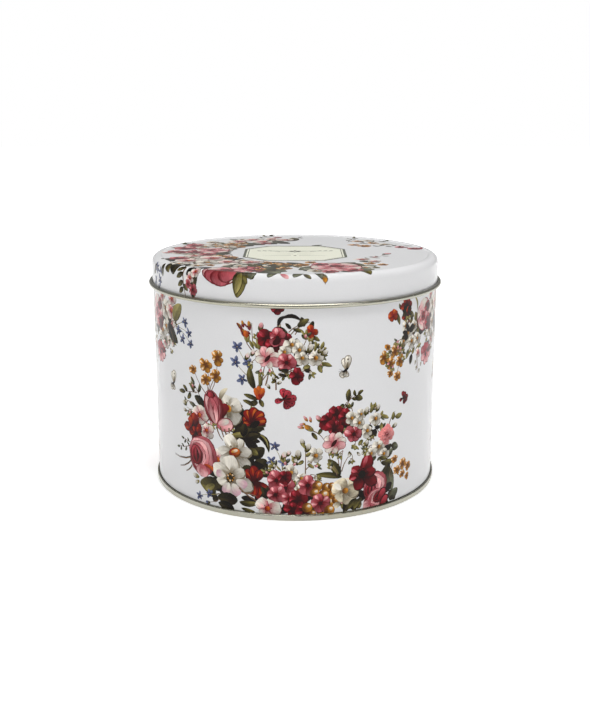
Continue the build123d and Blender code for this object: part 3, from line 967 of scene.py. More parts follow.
def draw_berry_bank(art):
    """The right bank along the foot: pink blossom, berries, the anemone and the roses."""
    star_spray(art, -6+24j, (-10+38j, 2.7), (-11.5+30.4j, 2.7), (-5+30j, 3.0))
    buds(art, "rose light", (-6.5+31j, -4.5+35.4j), (-4+33j, -2.4+36j))
    leaves(art, "leaf pale", (-7+26j, -9+28j, 1.0), (-6+26j, -3.6+28j, 1.0))
    stems(art, (21+22j, 16+35j), (22+22j, 20+36j), (22+22j, 23.5+35j), (23+24j, 28+33j), (5+24j, 5+36j),
          (5+26j, 9+32j), (24+56j, 28+62j), (8+46j, 14+41j), (32+46j, 36+53j), (38+46j, 42+54j),
          (50+44j, 54+50j), width=0.6)
    leaves(art, "leaf", (22+22j, 16+31j, 4.6), (23+21.4j, 10+23.5j, 3.0), (45+25j, 54+25j, 3.2))
    leaves(art, "leaf pale", (21.5+23j, 17+29.5j, 1.6))
    leaves(art, "leaf dark", (-13+12j, -16.5+17j, 3.0), (45+8j, 50.5+24j, 7.5), (51+9j, 55+3.6j, 5.4),
           (46+30j, 52+33.5j, 3.4))
    leaves(art, "leaf grey", (50+22j, 53+9j, 6.0), (51+4j, 57+9j, 5.0), (52+33j, 56.5+31j, 4.4),
           (49+27j, 53+31j, 3.0))
    fringe(art, (-5+20j, 10.0), (4+26j, 7.0), (24+18j, 9.0), (31+48j, 11.0), (46+36j, 9.0), (27+38j, 8.0))
    bed(art, (-9+16j, 6.5), (0+10j, 8.0), (14+9j, 8.0), (27+10j, 7.0), (38+14j, 8.0), (46+8j, 8.0),
        (-4+22j, 5.0))
    bed(art, (21+50j, 6.0), (30+46j, 6.0), (46+31j, 5.0), (40+44j, 4.0))
    blooms(art, "white", (-2+24.6j, 3.9), (3+21.6j, 3.4), (10+33j, 4.0), (2+15.5j, 3.6))
    buds(art, "white", (1.4+31j, 1.4+36.4j), (5+35j, 7+39.4j), (4+38j, 3+42j), (-0.4+33j, 0.6+30j))
    leaves(art, "leaf pale", (4+31j, 1.4+29j, 1.6), (6+29j, 9+27j, 1.8), (5+37j, 3.2+39.6j, 1.6),
           (5+33j, 7.4+35j, 1.6))
    blooms(art, "pink", (-9+20.5j, 4.6), (-4.6+16.5j, 4.6), (-9.5+13j, 4.8), (-2.6+11j, 4.0))
    blooms(art, "crimson", (-5+22.4j, 3.6), (1+10.5j, 4.6), (-1+5.6j, 4.6), (5+5j, 4.4))
    bloom(art, -13.6+5.6j, 6.0, "blush", 70)
    bloom(art, 6.2+18j, 5.0, "pink", 90)
    berries(art, (11+17.5j, 2.5), (15.4+16.5j, 2.3), (18.4+12.4j, 2.4), (14+12.6j, 2.7), (9.6+14j, 2.3),
            (18+17j, 1.8), (17+8.6j, 2.2), (20+9.6j, 1.8), (12.6+4.6j, 2.2))
    bloom(art, 12.4+8.4j, 4.9, "pink", 30)
    berries(art, (6+6.5j, 2.4), (17+4.6j, 2.5), (8.6+3.4j, 1.6))
    bloom(art, 25+13.6j, 7.4, "cream", 75)
    art.petal(22+8.4j, 19.5+5.4j, 0.8, "cream")
    leaves(art, "leaf", (31+9j, 26.5+4j, 3.0), (32+8j, 32.5+3.4j, 3.0), (34+9j, 29.5+3.6j, 3.0))
    # The sprays above the bank.
    sprig(art, 23+56j, 31+62j, 4, 3.6, "leaf", 0.1)
    leaves(art, "leaf", (26+60j, 26.5+65.5j, 2.6), (29.5+61j, 33.5+60j, 3.2), (24+58j, 21.6+57j, 2.0))
    leaves(art, "leaf", (8+45j, 10.5+41.4j, 2.0), (13+47j, 11+44j, 1.6))
    for base, tip in ((5+49.4j, 2+49j), (6+50.6j, 4+53.4j), (7.6+50j, 7+53j), (4.4+47.4j, 1+48j)):
        bud(art, base, tip, "rose", "amber", 0.4)
    bud(art, 8.8+45.8j, 4.4+48.6j, "amber", "leaf pale", 0.5)
    bud(art, 12.5+50j, 10.2+53.4j, "rose")
    leaves(art, "leaf dark", (17+46j, 24+44j, 4.0), (24+48j, 28+46j, 3.0))
    blooms(art, "crimson", (20.6+53.5j, 4.4), (16+50.4j, 4.4), (24.6+51.6j, 4.2), (19+46.4j, 4.2))
    art.petal(22.5+48j, 27.5+50.6j, 0.6, "crimson deep", 0.1)
    lily(art, 19+38.4j, (140, 5.6, "blush"), (100, 5.6, "rose"), (58, 6.2, "blush"), (16, 6.0, "blush"),
         (-14, 5.8, "rose"), (-80, 4.4, "blush"), (-140, 5.2, "blush"), (182, 5.4, "rose"))
    art.petal(17.6+37j, 20.4+40.6j, 0.42, "maroon", 0.3)
    blooms(art, "white", (28+50.5j, 3.4), (32+47.6j, 3.2), (41.4+48.4j, 3.7), (36.6+43j, 3.4),
           (33+52j, 2.6))
    bloom(art, 29.2+42.4j, 4.8, "pink", 80)
    buds(art, "white", (35+51j, 36.6+55.4j), (41.5+52j, 43.4+55.6j), (52+42j, 55.6+43.6j),
         (27+34j, 26.6+31j), (31+33j, 32.6+31j))
    leaves(art, "leaf pale", (38+52j, 40.4+56.4j, 1.8), (45.5+49j, 49.5+47.6j, 2.0),
           (45+46j, 44.6+41.6j, 2.2), (52+46j, 53+50j, 2.4), (54+47j, 59+48j, 2.6),
           (34+39j, 31.6+36.4j, 1.8), (28+37j, 30.4+34.6j, 1.8))
    blooms(art, "ruffle", (48+38.5j, 5.6), (48.4+39j, 4.2), (48.6+39.4j, 2.8))
    blooms(art, "white", (43.6+33.6j, 4.0), (39+30.8j, 3.4), (47+29.2j, 3.4))
    buds(art, "white", (36+35j, 36.8+38.4j), (35+33j, 33.4+31.4j))
    leaves(art, "leaf", (42+29j, 38+27j, 1.8), (44+28j, 49+26.6j, 2.0))
    cup_rose(art, 42+13j, 7.2, 195, up=80)
    cup_rose(art, 42+5.4j, 6.4, 40, up=20)
    for place in (47.4+8.4j, 49+4.4j):
        art.petal(place - 4 - 3j, place + 1 + 3j, 0.6, "maroon", 0.0, 0.2)
        art.petal(place - 3.6 - 3j, place + 0.6 + 2.6j, 0.5, "crimson", 0.0, 0.2)
    bloom(art, 34+21j, 8.8, "anemone", 76)
    art.dot(34+21j, 2.1, "black")
    for k in range(9):
        art.dot(34 + 21j + 2.9 * bent(40 * k), 0.32, "black")
    stems(art, (51+16j, 54+24j), (52+16j, 60+20j), (55+18j, 62+13.6j), width=0.45)
    blooms(art, "amber", (54.4+25j, 2.3), (56.4+18.6j, 2.6), (60.4+21j, 2.9), (65+19j, 2.6),
           (60.6+15.6j, 2.3), (64.6+13.4j, 1.9))


def draw_corner_spray(art):
    """The spray under the lid: orange and amber flowers, white blossom, the pink bloom and stars."""
    leaves(art, "leaf", (53+100j, 55.6+93.6j, 2.4), (56+101j, 55+104j, 1.6), (64+99j, 67+96j, 2.6),
           (66+96j, 63.6+93j, 2.0))
    bloom(art, 51+98.2j, 3.4, "rust", 60)
    blooms(art, "red", (61+102.4j, 4.6), (60.6+97.4j, 3.8))
    art.petal(70+98j, 67+106j, 0.16, "leaf pale", 0.3, bow=-0.2)
    leaves(art, "leaf", (71+90j, 68.4+98j, 4.6), (73+91j, 70+87j, 3.4), (66+87j, 70+90j, 2.4))
    stems(art, (58+80j, 46+79j), (58+80j, 50+74j), (59+80j, 54+68j), (59+82j, 48+83j), (62+84j, 70+78j),
          (70+78j, 72+66j), (66+88j, 78+76j), (76+88j, 72+68j), (83+86j, 80+70j), width=0.5)
    blooms(art, "white", (62+88.4j, 4.4), (65.6+83.6j, 3.6), (60.4+92j, 3.0), (67.6+91j, 3.0),
           (59+84.6j, 2.6), (71+84j, 3.0))
    leaves(art, "leaf pale", (60+83j, 57.4+81j, 1.6), (63+80j, 61+75.6j, 2.2), (70+79j, 75+81j, 2.0),
           (68+80j, 66+77j, 2.0))
    leaves(art, "leaf dark", (66+77j, 64.6+72j, 2.6), (73+86j, 80+88j, 3.0), (84+86j, 90+84j, 3.2))
    blooms(art, "amber", (46+78.6j, 3.5), (53+80.6j, 3.3), (50+75j, 2.8), (56.4+75.4j, 3.3),
           (54.6+67.6j, 2.6), (50+70j, 2.3), (48+83.4j, 2.0))
    blooms(art, "blush", (72+76.6j, 2.6), (90+81j, 4.0), (96+90j, 4.6), (87+104j, 4.0))
    for foot in (70+68j, 73+66j, 75+69j, 69+71j):
        bud(art, foot + 1 + 2j, foot, "white", "leaf pale")
    fringe(art, (64+87j, 9.0), (90+88j, 11.0), (54+77j, 5.0))
    bed(art, (90+95j, 8.0), (80+93j, 8.0), (63+88j, 5.0), (84+76j, 5.0), (61+100j, 4.0))
    leaves(art, "leaf grey", (88+92j, 97+86j, 4.4), (86+88j, 92+80j, 3.4))
    blooms(art, "white", (92+98j, 6.0), (86+86j, 4.4), (97+84j, 3.6), (91+89j, 4.0))
    blooms(art, "blush", (97.5+98j, 5.0), (98+104j, 4.0))
    rose(art, 78.6+95j, 8.2, 200)
    art.petal(73+98.6j, 79.5+102.6j, 0.7, "rose light")
    blooms(art, "crimson", (84+90j, 4.0), (82.6+99j, 3.4))
    leaf(art, 99.6+93.6j, 106.4+102.6j, 6.6, "leaf pale", 0.06)
    leaf(art, 94+91.6j, 102.6+82.6j, 6.4, "leaf dark", -0.08)
    star_spray(art, 101+91j, (109+94.4j, 2.8), (103.6+89j, 2.6), (112+89j, 2.7), (107+85.4j, 2.6),
               (113+84j, 2.4))
    buds(art, "rose light", (99+83j, 97+79.6j), (95+83j, 92.6+79.4j))
    stems(art, (94+88j, 96+80j), (96+88j, 99+81j), width=0.4)
    for out, reach, ink in (
        (150, 7.4, "rose deep"), (110, 6.6, "crimson"), (70, 6.2, "crimson"), (30, 6.6, "rose deep"),
        (-10, 7.0, "rose"), (-60, 5.8, "rose"), (-110, 6.0, "rose"), (195, 6.6, "rose"),
    ):
        foot = 82 + 74j
        art.petal(foot, foot + reach * bent(out), 0.66, "rose line", 0.0, 0.3)
        art.petal(foot, foot + reach * 0.95 * bent(out), 0.6, ink, 0.0, 0.3)
    art.petal(84+74.6j, 89+77j, 0.6, "crimson deep")
    art.dot(81.6+74j, 1.5, "crimson deep")


def draw_back_spray(art):
    """The small spray beside the side seam, which the garland leaves out."""
    stems(art, (0j, -12+10j), (0j, -4+16j), (0j, 7+14j), (0j, 12+5j), (1j, -10+2j), width=0.5)
    sprig(art, 0j, -14+16j, 4, 4.0, "leaf", 0.1)
    sprig(art, 0j, 10+18j, 4, 3.6, "leaf pale", -0.1)
    star_spray(art, 2+2j, (12+6j, 2.8), (14+12j, 2.6), (7+10j, 2.6))
    leaves(art, "leaf dark", (0j, -8-4j, 4.0), (0j, 8-3j, 4.0), (2j, -3+10j, 3.6))
    blooms(art, "amber", (-12+9j, 3.2), (-9+14j, 2.8), (-14+3j, 2.6))
    blooms(art, "white", (-4+8j, 3.6), (4+9j, 3.4), (2+14j, 3.0))
    bloom(art, -1+2j, 5.6, "pink", 90)


def draw_wall(art, repeat):
    """The whole wall: the garland repeats, and the corner spray fills the gaps between its tops."""
    for shift in (-repeat, 0.0, repeat):
        art.move(shift)
        draw_crimson_spray(art)
        draw_tulip_spray(art)
        draw_rose_knot(art)
        draw_berry_bank(art)
        butterfly(art, -5+61.5j, 5.4, RED_WINGS, "crimson", "maroon")
        butterfly(art, 25+74.6j, 6.6, GREY_WINGS, "wing", "wing line")
        butterfly(art, 60+55.6j, 3.6, RED_WINGS, "crimson deep", "maroon")
    for shift in (-repeat - 1, 0.0):
        art.move(shift)
        draw_corner_spray(art)
        butterfly(art, 98+60.6j, 6.4, GREY_WINGS, "wing", "wing line")
    for middle in (-214, 216):
        art.move(middle + 80j)
        draw_back_spray(art)


# ---- The lid's flowers, seen from above with the front at the foot of the sheet ----
def draw_label(art, size):
    """A chamfered label with a fine inner line and a scroll."""
    art.move(-2j)
    half = size / 2

    def frame_line(inset, ink):
        flat, cut = half - inset, (half - inset) * 0.55
        side = (complex(cut, -flat), complex(flat, -cut))
        art.patch(np.array([corner * quarter for quarter in (1, 1j, -1, -1j) for corner in side]), ink)

    for inset, ink in ((0.0, "label line"), (1.4, "label"), (2.2, "label line"), (2.6, "label")):
        frame_line(inset, ink)
    for side in (-1, 1):
        for foot, tip, bow in ((0, 15, 0.16), (3, 12, -0.2), (8, 18, 0.2)):
            art.stroke(side * foot + 5j, side * tip + 7j, 0.8, "label line", side * bow, taper=0.8)
            art.petal(side * tip + 7j, side * (tip + 2.4) + 9j, 0.5, "label line", 0.3)
        art.stroke(side * 2 - 9j, side * 17 - 9j, 0.6, "label line", taper=0.7)
        art.stroke(side * 1 - 3.5j, side * 10 - 3.5j, 0.6, "label line", taper=0.7)
    for k in range(6):
        art.petal(6j, 6j + 3.6 * bent(60 * k + 30), 0.5, "label line", 0.3)
    art.dot(6j, 0.9, "label")
    art.dot(-9j, 0.9, "label line")
    art.petal(9+26j, 15+31j, 0.5, "label line", 0.2)
    art.petal(11+26.5j, 14.4+30j, 0.4, "leaf grey", 0.2)
    art.move(0)


def draw_lid_top(art):
    """The wreath round the label: full roses and leaves at the front left, thinner at the back."""
    sprig(art, -22+56j, -15+68j, 5, 4.0, "leaf")
    sprig(art, -8+44j, 2+60j, 5, 3.6, "leaf grey")
    sprig(art, -50+28j, -64+36j, 5, 4.4, "leaf grey")
    leaves(art, "leaf grey", (-32+26j, -42+38j, 7.0), (-28+44j, -38+52j, 6.0), (-44+8j, -58+6j, 8.0),
           (-40-6j, -54-8j, 8.0))
    leaves(art, "leaf", (-44+0j, -52+10j, 6.0), (-30+30j, -38+28j, 5.0), (-16+44j, -10+54j, 5.0),
           (-48-20j, -62-18j, 8.0))
    for around in range(96, 266, 12):
        foot = 34 * bent(around)
        leaf(art, foot, foot + 18 * bent(around + 25), 9.0, "leaf grey", 0.1)
        leaf(art, foot * 1.3, foot * 1.3 + 16 * bent(around - 20), 7.0, "leaf", -0.1)
    for k in range(20):
        foot = art.chance.uniform(58, 68) * bent(art.chance.uniform(150, 222))
        leaf(art, foot, foot + 9 * bent(art.chance.uniform(0, 360)), 4.5, ("leaf grey", "leaf")[k % 2])
        bloom(art, foot, art.chance.uniform(2.6, 4.4), ("pink", "blush", "white")[k % 3])
    for k in range(54):
        place = art.chance.uniform(37, 63) * bent(art.chance.uniform(98, 262))
        bloom(art, place, art.chance.uniform(2.6, 4.8), ("blush", "pink", "white", "amber")[k % 4])
    blooms(art, "blush", (-25+50j, 6.0), (-18+42j, 6.4), (-6+50j, 5.0), (-32+44j, 5.6), (-14+54j, 4.4))
    blooms(art, "white", (-45+30j, 6.0), (-38+20j, 5.6), (-50+22j, 5.0), (-36+36j, 4.6))
    blooms(art, "amber", (-36+31j, 4.0), (-30+36j, 3.4), (-42+24j, 3.0))
    blooms(art, "pink", (-60+15j, 6.0), (-54+2j, 5.4), (-64+4j, 4.6), (-56+26j, 4.6))
    rose(art, -44+8j, 9.0, 140)
    leaves(art, "leaf dark", (-52-40j, -62-48j, 8.0), (-44-52j, -54-64j, 8.0), (-30-26j, -38-20j, 6.0),
           (-58-30j, -66-22j, 7.0))
    blooms(art, "blush", (-42-20j, 7.4), (-34-32j, 6.8), (-22-33j, 6.0), (-52-12j, 5.4), (-54-28j, 6.4))
    blooms(art, "white", (-44-34j, 6.4), (-30-42j, 5.4), (-58-38j, 5.0), (-48-44j, 5.0))
    blooms(art, "pink", (-60-20j, 5.4), (-46-6j, 5.0))
    leaves(art, "leaf grey", (-22-52j, -4-62j, 14.0), (-12-50j, 0-44j, 8.0), (-18-58j, -8-70j, 11.0),
           (-34-52j, -24-46j, 8.0))
    leaves(art, "leaf dark", (-24-56j, -12-56j, 6.0), (-40-50j, -48-56j, 7.0))
    rose(art, -32-60j, 12.0, 100)
    for out, reach, ink in (
        (185, 10.0, "rose"), (212, 12.4, "coral"), (300, 9.0, "rose"), (245, 12.8, "coral"),
        (274, 11.4, "coral"),
    ):
        foot = -32 - 60j
        art.petal(foot, foot + reach * bent(out), 0.90, "rose line", 0.0, 0.3)
        art.petal(foot + bent(out), foot + reach * 0.96 * bent(out), 0.84, ink, 0.0, 0.3, ripple=0.03)
    for k in range(16):
        place = -1 - 51j + art.chance.uniform(-34, 36) + 1j * art.chance.uniform(-11, 11)
        leaf(art, place, place + 9 * bent(art.chance.uniform(0, 360)), 6.0, ("leaf grey", "leaf")[k % 2])
    for k in range(12):
        place = 2 - 50j + art.chance.uniform(-30, 36) + 1j * art.chance.uniform(-9, 9)
        bloom(art, place, art.chance.uniform(2.8, 4.4), ("blush", "pink", "white", "amber")[k % 4])
    leaves(art, "leaf", (6-38j, 0-48j, 5.0), (4-54j, 10-62j, 6.0), (28-36j, 33-46j, 6.0),
           (27-54j, 36-60j, 6.4))
    leaves(art, "leaf grey", (28-46j, 40-44j, 6.0), (8-46j, 2-58j, 6.0), (32-30j, 42-34j, 5.0))
    blooms(art, "amber", (-5-40j, 3.8), (3-42j, 4.0), (-5-52j, 4.0), (37-38j, 3.4), (43-41j, 3.2),
           (8-34j, 3.2))
    blooms(art, "white", (6-50j, 5.0), (34-50j, 4.6), (10-60j, 4.4))
    leaves(art, "leaf grey", (18-48j, 2-52j, 9.0), (20-50j, 38-56j, 9.0), (18-46j, 30-34j, 8.0))
    rose(art, 20-48j, 12.4, 80)
    blooms(art, "pink", (12-40j, 5.0), (28-58j, 5.0), (16-62j, 4.6))
    sprig(art, 30-26j, 48-6j, 6, 3.6, "leaf", -0.1)
    buds(art, "rose", (46-8j, 50-2j), (38-16j, 43-16j))
    blooms(art, "blush", (34-24j, 4.0), (40-30j, 3.6))
    sprig(art, 34+34j, 50+44j, 5, 5.0, "leaf grey", 0.1)
    sprig(art, 40+28j, 60+26j, 5, 5.0, "leaf grey", -0.1)
    sprig(art, 30+40j, 34+58j, 5, 4.0, "leaf")
    blooms(art, "amber", (38+25j, 3.8), (33+29j, 3.6), (44+36j, 3.4), (36+44j, 3.0))
    blooms(art, "white", (50+32j, 4.0), (42+46j, 3.6))
    blooms(art, "pink", (65+15j, 4.4), (58+20j, 3.6))


def draw_lid_skirt(art):
    """Sprays that hang over the shoulder onto the skirt."""
    at = on_skirt
    leaves(art, "leaf", (at(-76, 122), at(-73, 117), 4.6))
    stems(art, (at(-60, 121.5), at(-58.6, 107.4)), (at(-54, 119), at(-53, 107)), width=0.9)
    for height, out in ((116.6, -5), (112.6, -4), (111, 3.4), (109.4, -3), (120, -5)):
        leaf(art, at(-60.4, height + 2), at(-60.4 + out, height - 1), 2.6, "leaf")
    blooms(art, "blush", (at(-55, 116.6), 3.0), (at(-52, 120), 2.8))
    blooms(art, "pink", (at(-53.4, 111), 2.9), (at(-56.6, 113.4), 2.2))
    leaf(art, at(-54, 108.6), at(-51.6, 106), 1.8, "leaf")
    for around, height, radius in (
        (-88, 117, 3.6), (-84, 111.6, 3.4), (-91, 110, 3.2), (-82, 116.6, 2.6), (-86, 107.4, 2.6),
    ):
        bloom(art, at(around, height), radius, "star", around)
    leaves(art, "leaf grey", (at(-80, 121), at(-80, 114), 3.0), (at(-90, 119), at(-95, 113), 3.4))
    leaves(art, "leaf", (at(-24, 127), at(-29, 121), 5.0), (at(-26, 126), at(-20, 119), 6.0),
           (at(-26, 124), at(-28, 109.6), 7.0))
    leaves(art, "leaf", (at(-26, 122), at(-23, 116.4), 4.0))
    leaf(art, at(-26.4, 122), at(-28.4, 111.4), 3.6, "leaf pale", 0.05)
    leaf(art, at(-22, 126), at(-21, 118.6), 4.0, "leaf grey", 0.05)
    leaves(art, "leaf grey", (at(-10, 127), at(-13, 120), 4.0), (at(10, 127), at(13, 119), 4.0),
           (at(4, 126), at(-1, 120.4), 4.0))
    art.petal(at(-7, 123), at(-3, 119.4), 0.5, "rose", 0.1)
    leaves(art, "leaf", (at(4, 122.4), at(7.4, 119.6), 2.4))
    stems(art, (at(13.4, 122), at(14, 116.6)), width=0.8)
    bud(art, at(14, 122), at(14, 117.4), "amber", "leaf")


def draw_lid(art, label_size):
    """The whole lid."""
    draw_lid_top(art)
    draw_lid_skirt(art)
    draw_label(art, label_size)


# ---- Spun shells ----
def spin_shell(name, section, steps):
    """Spins an open section, given as stations that start and end on the axis, into a closed shell."""
    bpy.ops.object.select_all(action="DESELECT")
    bpy.ops.mesh.primitive_circle_add(vertices=len(section), radius=LID_RADIUS * MM)
    shell = bpy.context.object
    shell.name = shell.data.name = name
    for vertex, station in zip(shell.data.vertices, section):
        vertex.co = (station.radius * MM, 0.0, station.height * MM)
    on_axis = {0, len(section) - 1}
    bpy.ops.object.mode_set(mode="EDIT")
    bpy.ops.mesh.select_mode(type="EDGE")
    bpy.ops.mesh.select_all(action="DESELECT")
    bpy.ops.object.mode_set(mode="OBJECT")
    for edge in shell.data.edges:
        edge.select = set(edge.vertices) == on_axis
    bpy.ops.object.mode_set(mode="EDIT")
    bpy.ops.mesh.delete(type="EDGE")
    bpy.ops.mesh.select_all(action="SELECT")
    bpy.ops.mesh.spin(steps=steps, angle=2 * pi, center=(0, 0, 0), axis=(0, 0, 1))
    bpy.ops.mesh.select_all(action="SELECT")
    bpy.ops.mesh.remove_doubles(threshold=MERGE_DISTANCE * MM)
    bpy.ops.mesh.normals_make_consistent(inside=False)
    bpy.ops.object.mode_set(mode="OBJECT")
    shell.location = (0, 0, 0)
    bpy.ops.object.shade_smooth_by_angle(angle=radians(SMOOTH_ANGLE))
    return shell


# ---- Finishes ----
def on_sockets(operation, reflected=False):
    """A Python operator that adds a Math node."""
    def apply(left, right):
        return left.finish.maths(operation, *((right, left) if reflected else (left, right)))

    return apply


class Value:
    """A shader socket that reads as a number: an expression on it adds the Math nodes."""

    def __init__(self, finish, socket):
        self.finish = finish
        self.socket = socket

    __add__ = on_sockets("ADD")
    __radd__ = on_sockets("ADD")
    __sub__ = on_sockets("SUBTRACT")
    __rsub__ = on_sockets("SUBTRACT", reflected=True)
    __mul__ = on_sockets("MULTIPLY")
    __rmul__ = on_sockets("MULTIPLY")
    __pow__ = on_sockets("POWER")


class Finish:
    """A material that is being made. Its surface is one Principled shader."""

    def __init__(self, name):
        self.material = bpy.data.materials.new(name)
        self.material.use_nodes = True
        self.tree = self.material.node_tree
        self.surface = self.tree.nodes["Principled BSDF"]

    def node(self, kind, settings=None, values=None):
        """Adds any node: its settings first, then the value or link of each socket."""
        made = self.tree.nodes.new(kind)
        for key, setting in (settings or {}).items():
            setattr(made, key, setting)
        for key, value in (values or {}).items():
            self.put(made.inputs[key], value)
        return made

    def put(self, socket, value):
        """Links a value to a socket, or sets it there."""
        if isinstance(value, Value):
            value = value.socket
        if isinstance(value, bpy.types.NodeSocket):
            self.tree.links.new(value, socket)
        else:
            socket.default_value = value

    def out(self, made, key=0):
        return Value(self, made.outputs[key])

    def maths(self, operation, *values):
        made = self.node("ShaderNodeMath", {"operation": operation}, dict(enumerate(values)))
        return self.out(made)

    def clamp(self, value):
        return self.out(self.node("ShaderNodeClamp", values={"Value": value}))

    def ease(self, value, low, high):
        """Goes smoothly from 0 at the low value to 1 at the high one."""
        settings = {"interpolation_type": "SMOOTHSTEP"}
        return self.out(
            self.node("ShaderNodeMapRange", settings, {"Value": value, "From Min": low, "From Max": high})
        )

    def noise(self, place, scale, detail=2.0, roughness=0.5):
        values = {"Vector": place, "Scale": scale, "Detail": detail, "Roughness": roughness}
        return self.out(self.node("ShaderNodeTexNoise", values=values))

    def stack(self, x, y, z):
        return self.out(self.node("ShaderNodeCombineXYZ", values={0: x, 1: y, 2: z}))

    def mix(self, share, low, high):
        """Mixes two colours."""
        return self.out(self.node("ShaderNodeMix", {"data_type": "RGBA"}, {0: share, 6: low, 7: high}), 2)

    def brighten(self, colour, amount):
        made = self.node("ShaderNodeVectorMath", {"operation": "SCALE"}, {0: colour, "Scale": amount})
        return self.out(made)

    def bump(self, height, depth, strength=1.0):
        """Turns a height from 0 to 1 into a normal. Depth is how deep that is, in metres."""
        values = {"Height": height, "Distance": depth, "Strength": strength}
        return self.out(self.node("ShaderNodeBump", values=values))


def round_place(finish):
    """Gives a point's way round the tin and its distance from the axis, both in metres, and its height."""
    place = finish.out(finish.node("ShaderNodeTexCoord"), "Object")
    parts = finish.node("ShaderNodeSeparateXYZ", values={0: place})
    x, y, z = (finish.out(parts, i) for i in range(3))
    around = finish.maths("ARCTAN2", y, x) * (WALL_RADIUS * MM)
    away = finish.maths("SQRT", x * x + y * y)
    return place, around, away, z


def make_print_finish():
    """Offset ink on white enamel under a gloss varnish. Each patch says its own ink."""
    finish = Finish("litho_print")
    place = finish.out(finish.node("ShaderNodeTexCoord"), "Object")

    def read(name, key):
        return finish.out(finish.node("ShaderNodeAttribute", {"attribute_name": name}), key)

    base, tip = read("ink_base", "Color"), read("ink_tip", "Color")
    marks = finish.node("ShaderNodeSeparateColor", values={0: read("ink_marks", "Color")})
    streak, side, edge = (finish.out(marks, i) for i in range(3))
    vein = read("ink_marks", "Alpha")
    petal = finish.node("ShaderNodeSeparateXYZ", values={0: read("ink_place", "Vector")})
    along, across, seed = (finish.out(petal, i) for i in range(3))
    width = finish.maths("ABSOLUTE", across)

    wash = finish.noise(finish.stack(along * 1.6, across * 0.9, seed * 40), 1.7, detail=3)
    colour = finish.mix(finish.ease(along + (wash - 0.5) * 0.9, 0.12, 0.88), base, tip)
    hairs = finish.noise(finish.stack(along * 1.1, across * 4.5, seed * 90), 2.2, detail=3, roughness=0.65)
    lit = finish.ease(across, -0.25, 0.25) * 2 - 1
    rim = finish.clamp(width ** 4 + finish.clamp(along - 0.9) * 4)
    rib = 1 - finish.ease(width, 0.04, 0.16)
    ribs = finish.maths("SINE", along * 34 - width * 9)
    tone = 1 + streak * (hairs - 0.5) * 3.4 + side * lit - edge * rim
    tone = tone + vein * (finish.ease(ribs, 0.4, 1.0) * 0.35 - rib * 0.5)
    grain = finish.noise(place, 2600.0, detail=2)
    tone = tone * (1 + (grain - 0.5) * 0.10)
    tone = finish.maths("MAXIMUM", tone, 0.25)
    drift = finish.noise(place, 22.0, detail=2)
    colour = finish.brighten(colour, tone * (0.985 + drift * 0.03))

    peel = finish.noise(place, 700.0, detail=2)
    finish.put(finish.surface.inputs["Base Color"], colour)
    finish.put(finish.surface.inputs["Roughness"], 0.20 + (drift - 0.5) * 0.06 + (grain - 0.5) * 0.05)
    finish.put(finish.surface.inputs["Normal"], finish.bump(peel, GRAIN_DEPTH, 0.35))
    finish.put(finish.surface.inputs["Specular IOR Level"], PRINT_GLOSS)
    return finish.material


def make_tinplate_finish():
    """Bare tinplate under clear lacquer, with the mill's grain and the press's fine scuffs. Outside the wall
    it stays darker, partly as painted shade on the curl and seam; inside it is paler, less metallic and
    rougher.
    """
    finish = Finish("lacquered_tinplate")
    place, around, away, height = round_place(finish)
    grain = finish.noise(finish.stack(around * 60, away * 5200, height * 5200), 1.0, detail=3, roughness=0.6)
    cloud = finish.noise(place, 34.0, detail=3)
    scuff = finish.noise(finish.stack(around * 900, away * 240, height * 240), 1.0, detail=4, roughness=0.7)
    mark = finish.ease(scuff, 0.60, 0.74)
    plain = bpy.context.scene.tin_colours.metal
    metal = tuple(plain) + (1.0,)
    warm = tuple(c * f for c, f in zip(plain, (0.96, 0.94, 0.86))) + (1.0,)
    colour = finish.mix(finish.ease(cloud, 0.3, 0.7), metal, warm)
    colour = finish.brighten(colour, 0.92 + grain * 0.14 - mark * 0.08)
    # Partly painted shade: the outer curl and seam keep the darker metal, while inside the wall the sheet is
    # paler, less metallic and rougher
    inside = 1 - finish.ease(away, *INSIDE_EDGE)
    pale = tuple(min(1.0, c * INSIDE_OVER_SHADED_OUTSIDE) for c in plain)
    colour = finish.mix(inside, colour, finish.brighten(pale, 0.9 + grain * 0.2))
    rough = 0.24 + (grain - 0.5) * 0.16 + mark * 0.14 + (cloud - 0.5) * 0.06 + inside * 0.12
    finish.put(finish.surface.inputs["Base Color"], colour)
    finish.put(finish.surface.inputs["Metallic"], 1 - inside * 0.4)
    finish.put(finish.surface.inputs["Roughness"], rough)
    finish.put(finish.surface.inputs["Normal"], finish.bump(grain, GRAIN_DEPTH, 0.5))
    return finish.material


def finish_of(name):
    """Gives a finish by name, and makes it the first time."""
    found = bpy.data.materials.get(name)
    if found is None:
        makers = {"litho_print": make_print_finish, "lacquered_tinplate": make_tinplate_finish}
        found = makers[name]()
    return found


def dress(piece, finish_name, body=None):
    """Gives a piece its finish, and a new piece its body."""
    piece.data.materials.clear()
    piece.data.materials.append(finish_of(finish_name))
    if body:
        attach(piece, body)


# ---- Operators ----
class TIN_OT_bare_metal(bpy.types.Operator):
    """Finish the rolled wall and the pressed end in bare lacquered tinplate"""

    bl_idname = "tin.bare_metal"
    bl_label = "Bare Metal"

    def execute(self, context):
        for node in ("body_wall", "bottom_end"):
            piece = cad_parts[node]
            for slot in piece.material_slots:
                slot.material = finish_of("lacquered_tinplate")
        return {"FINISHED"}


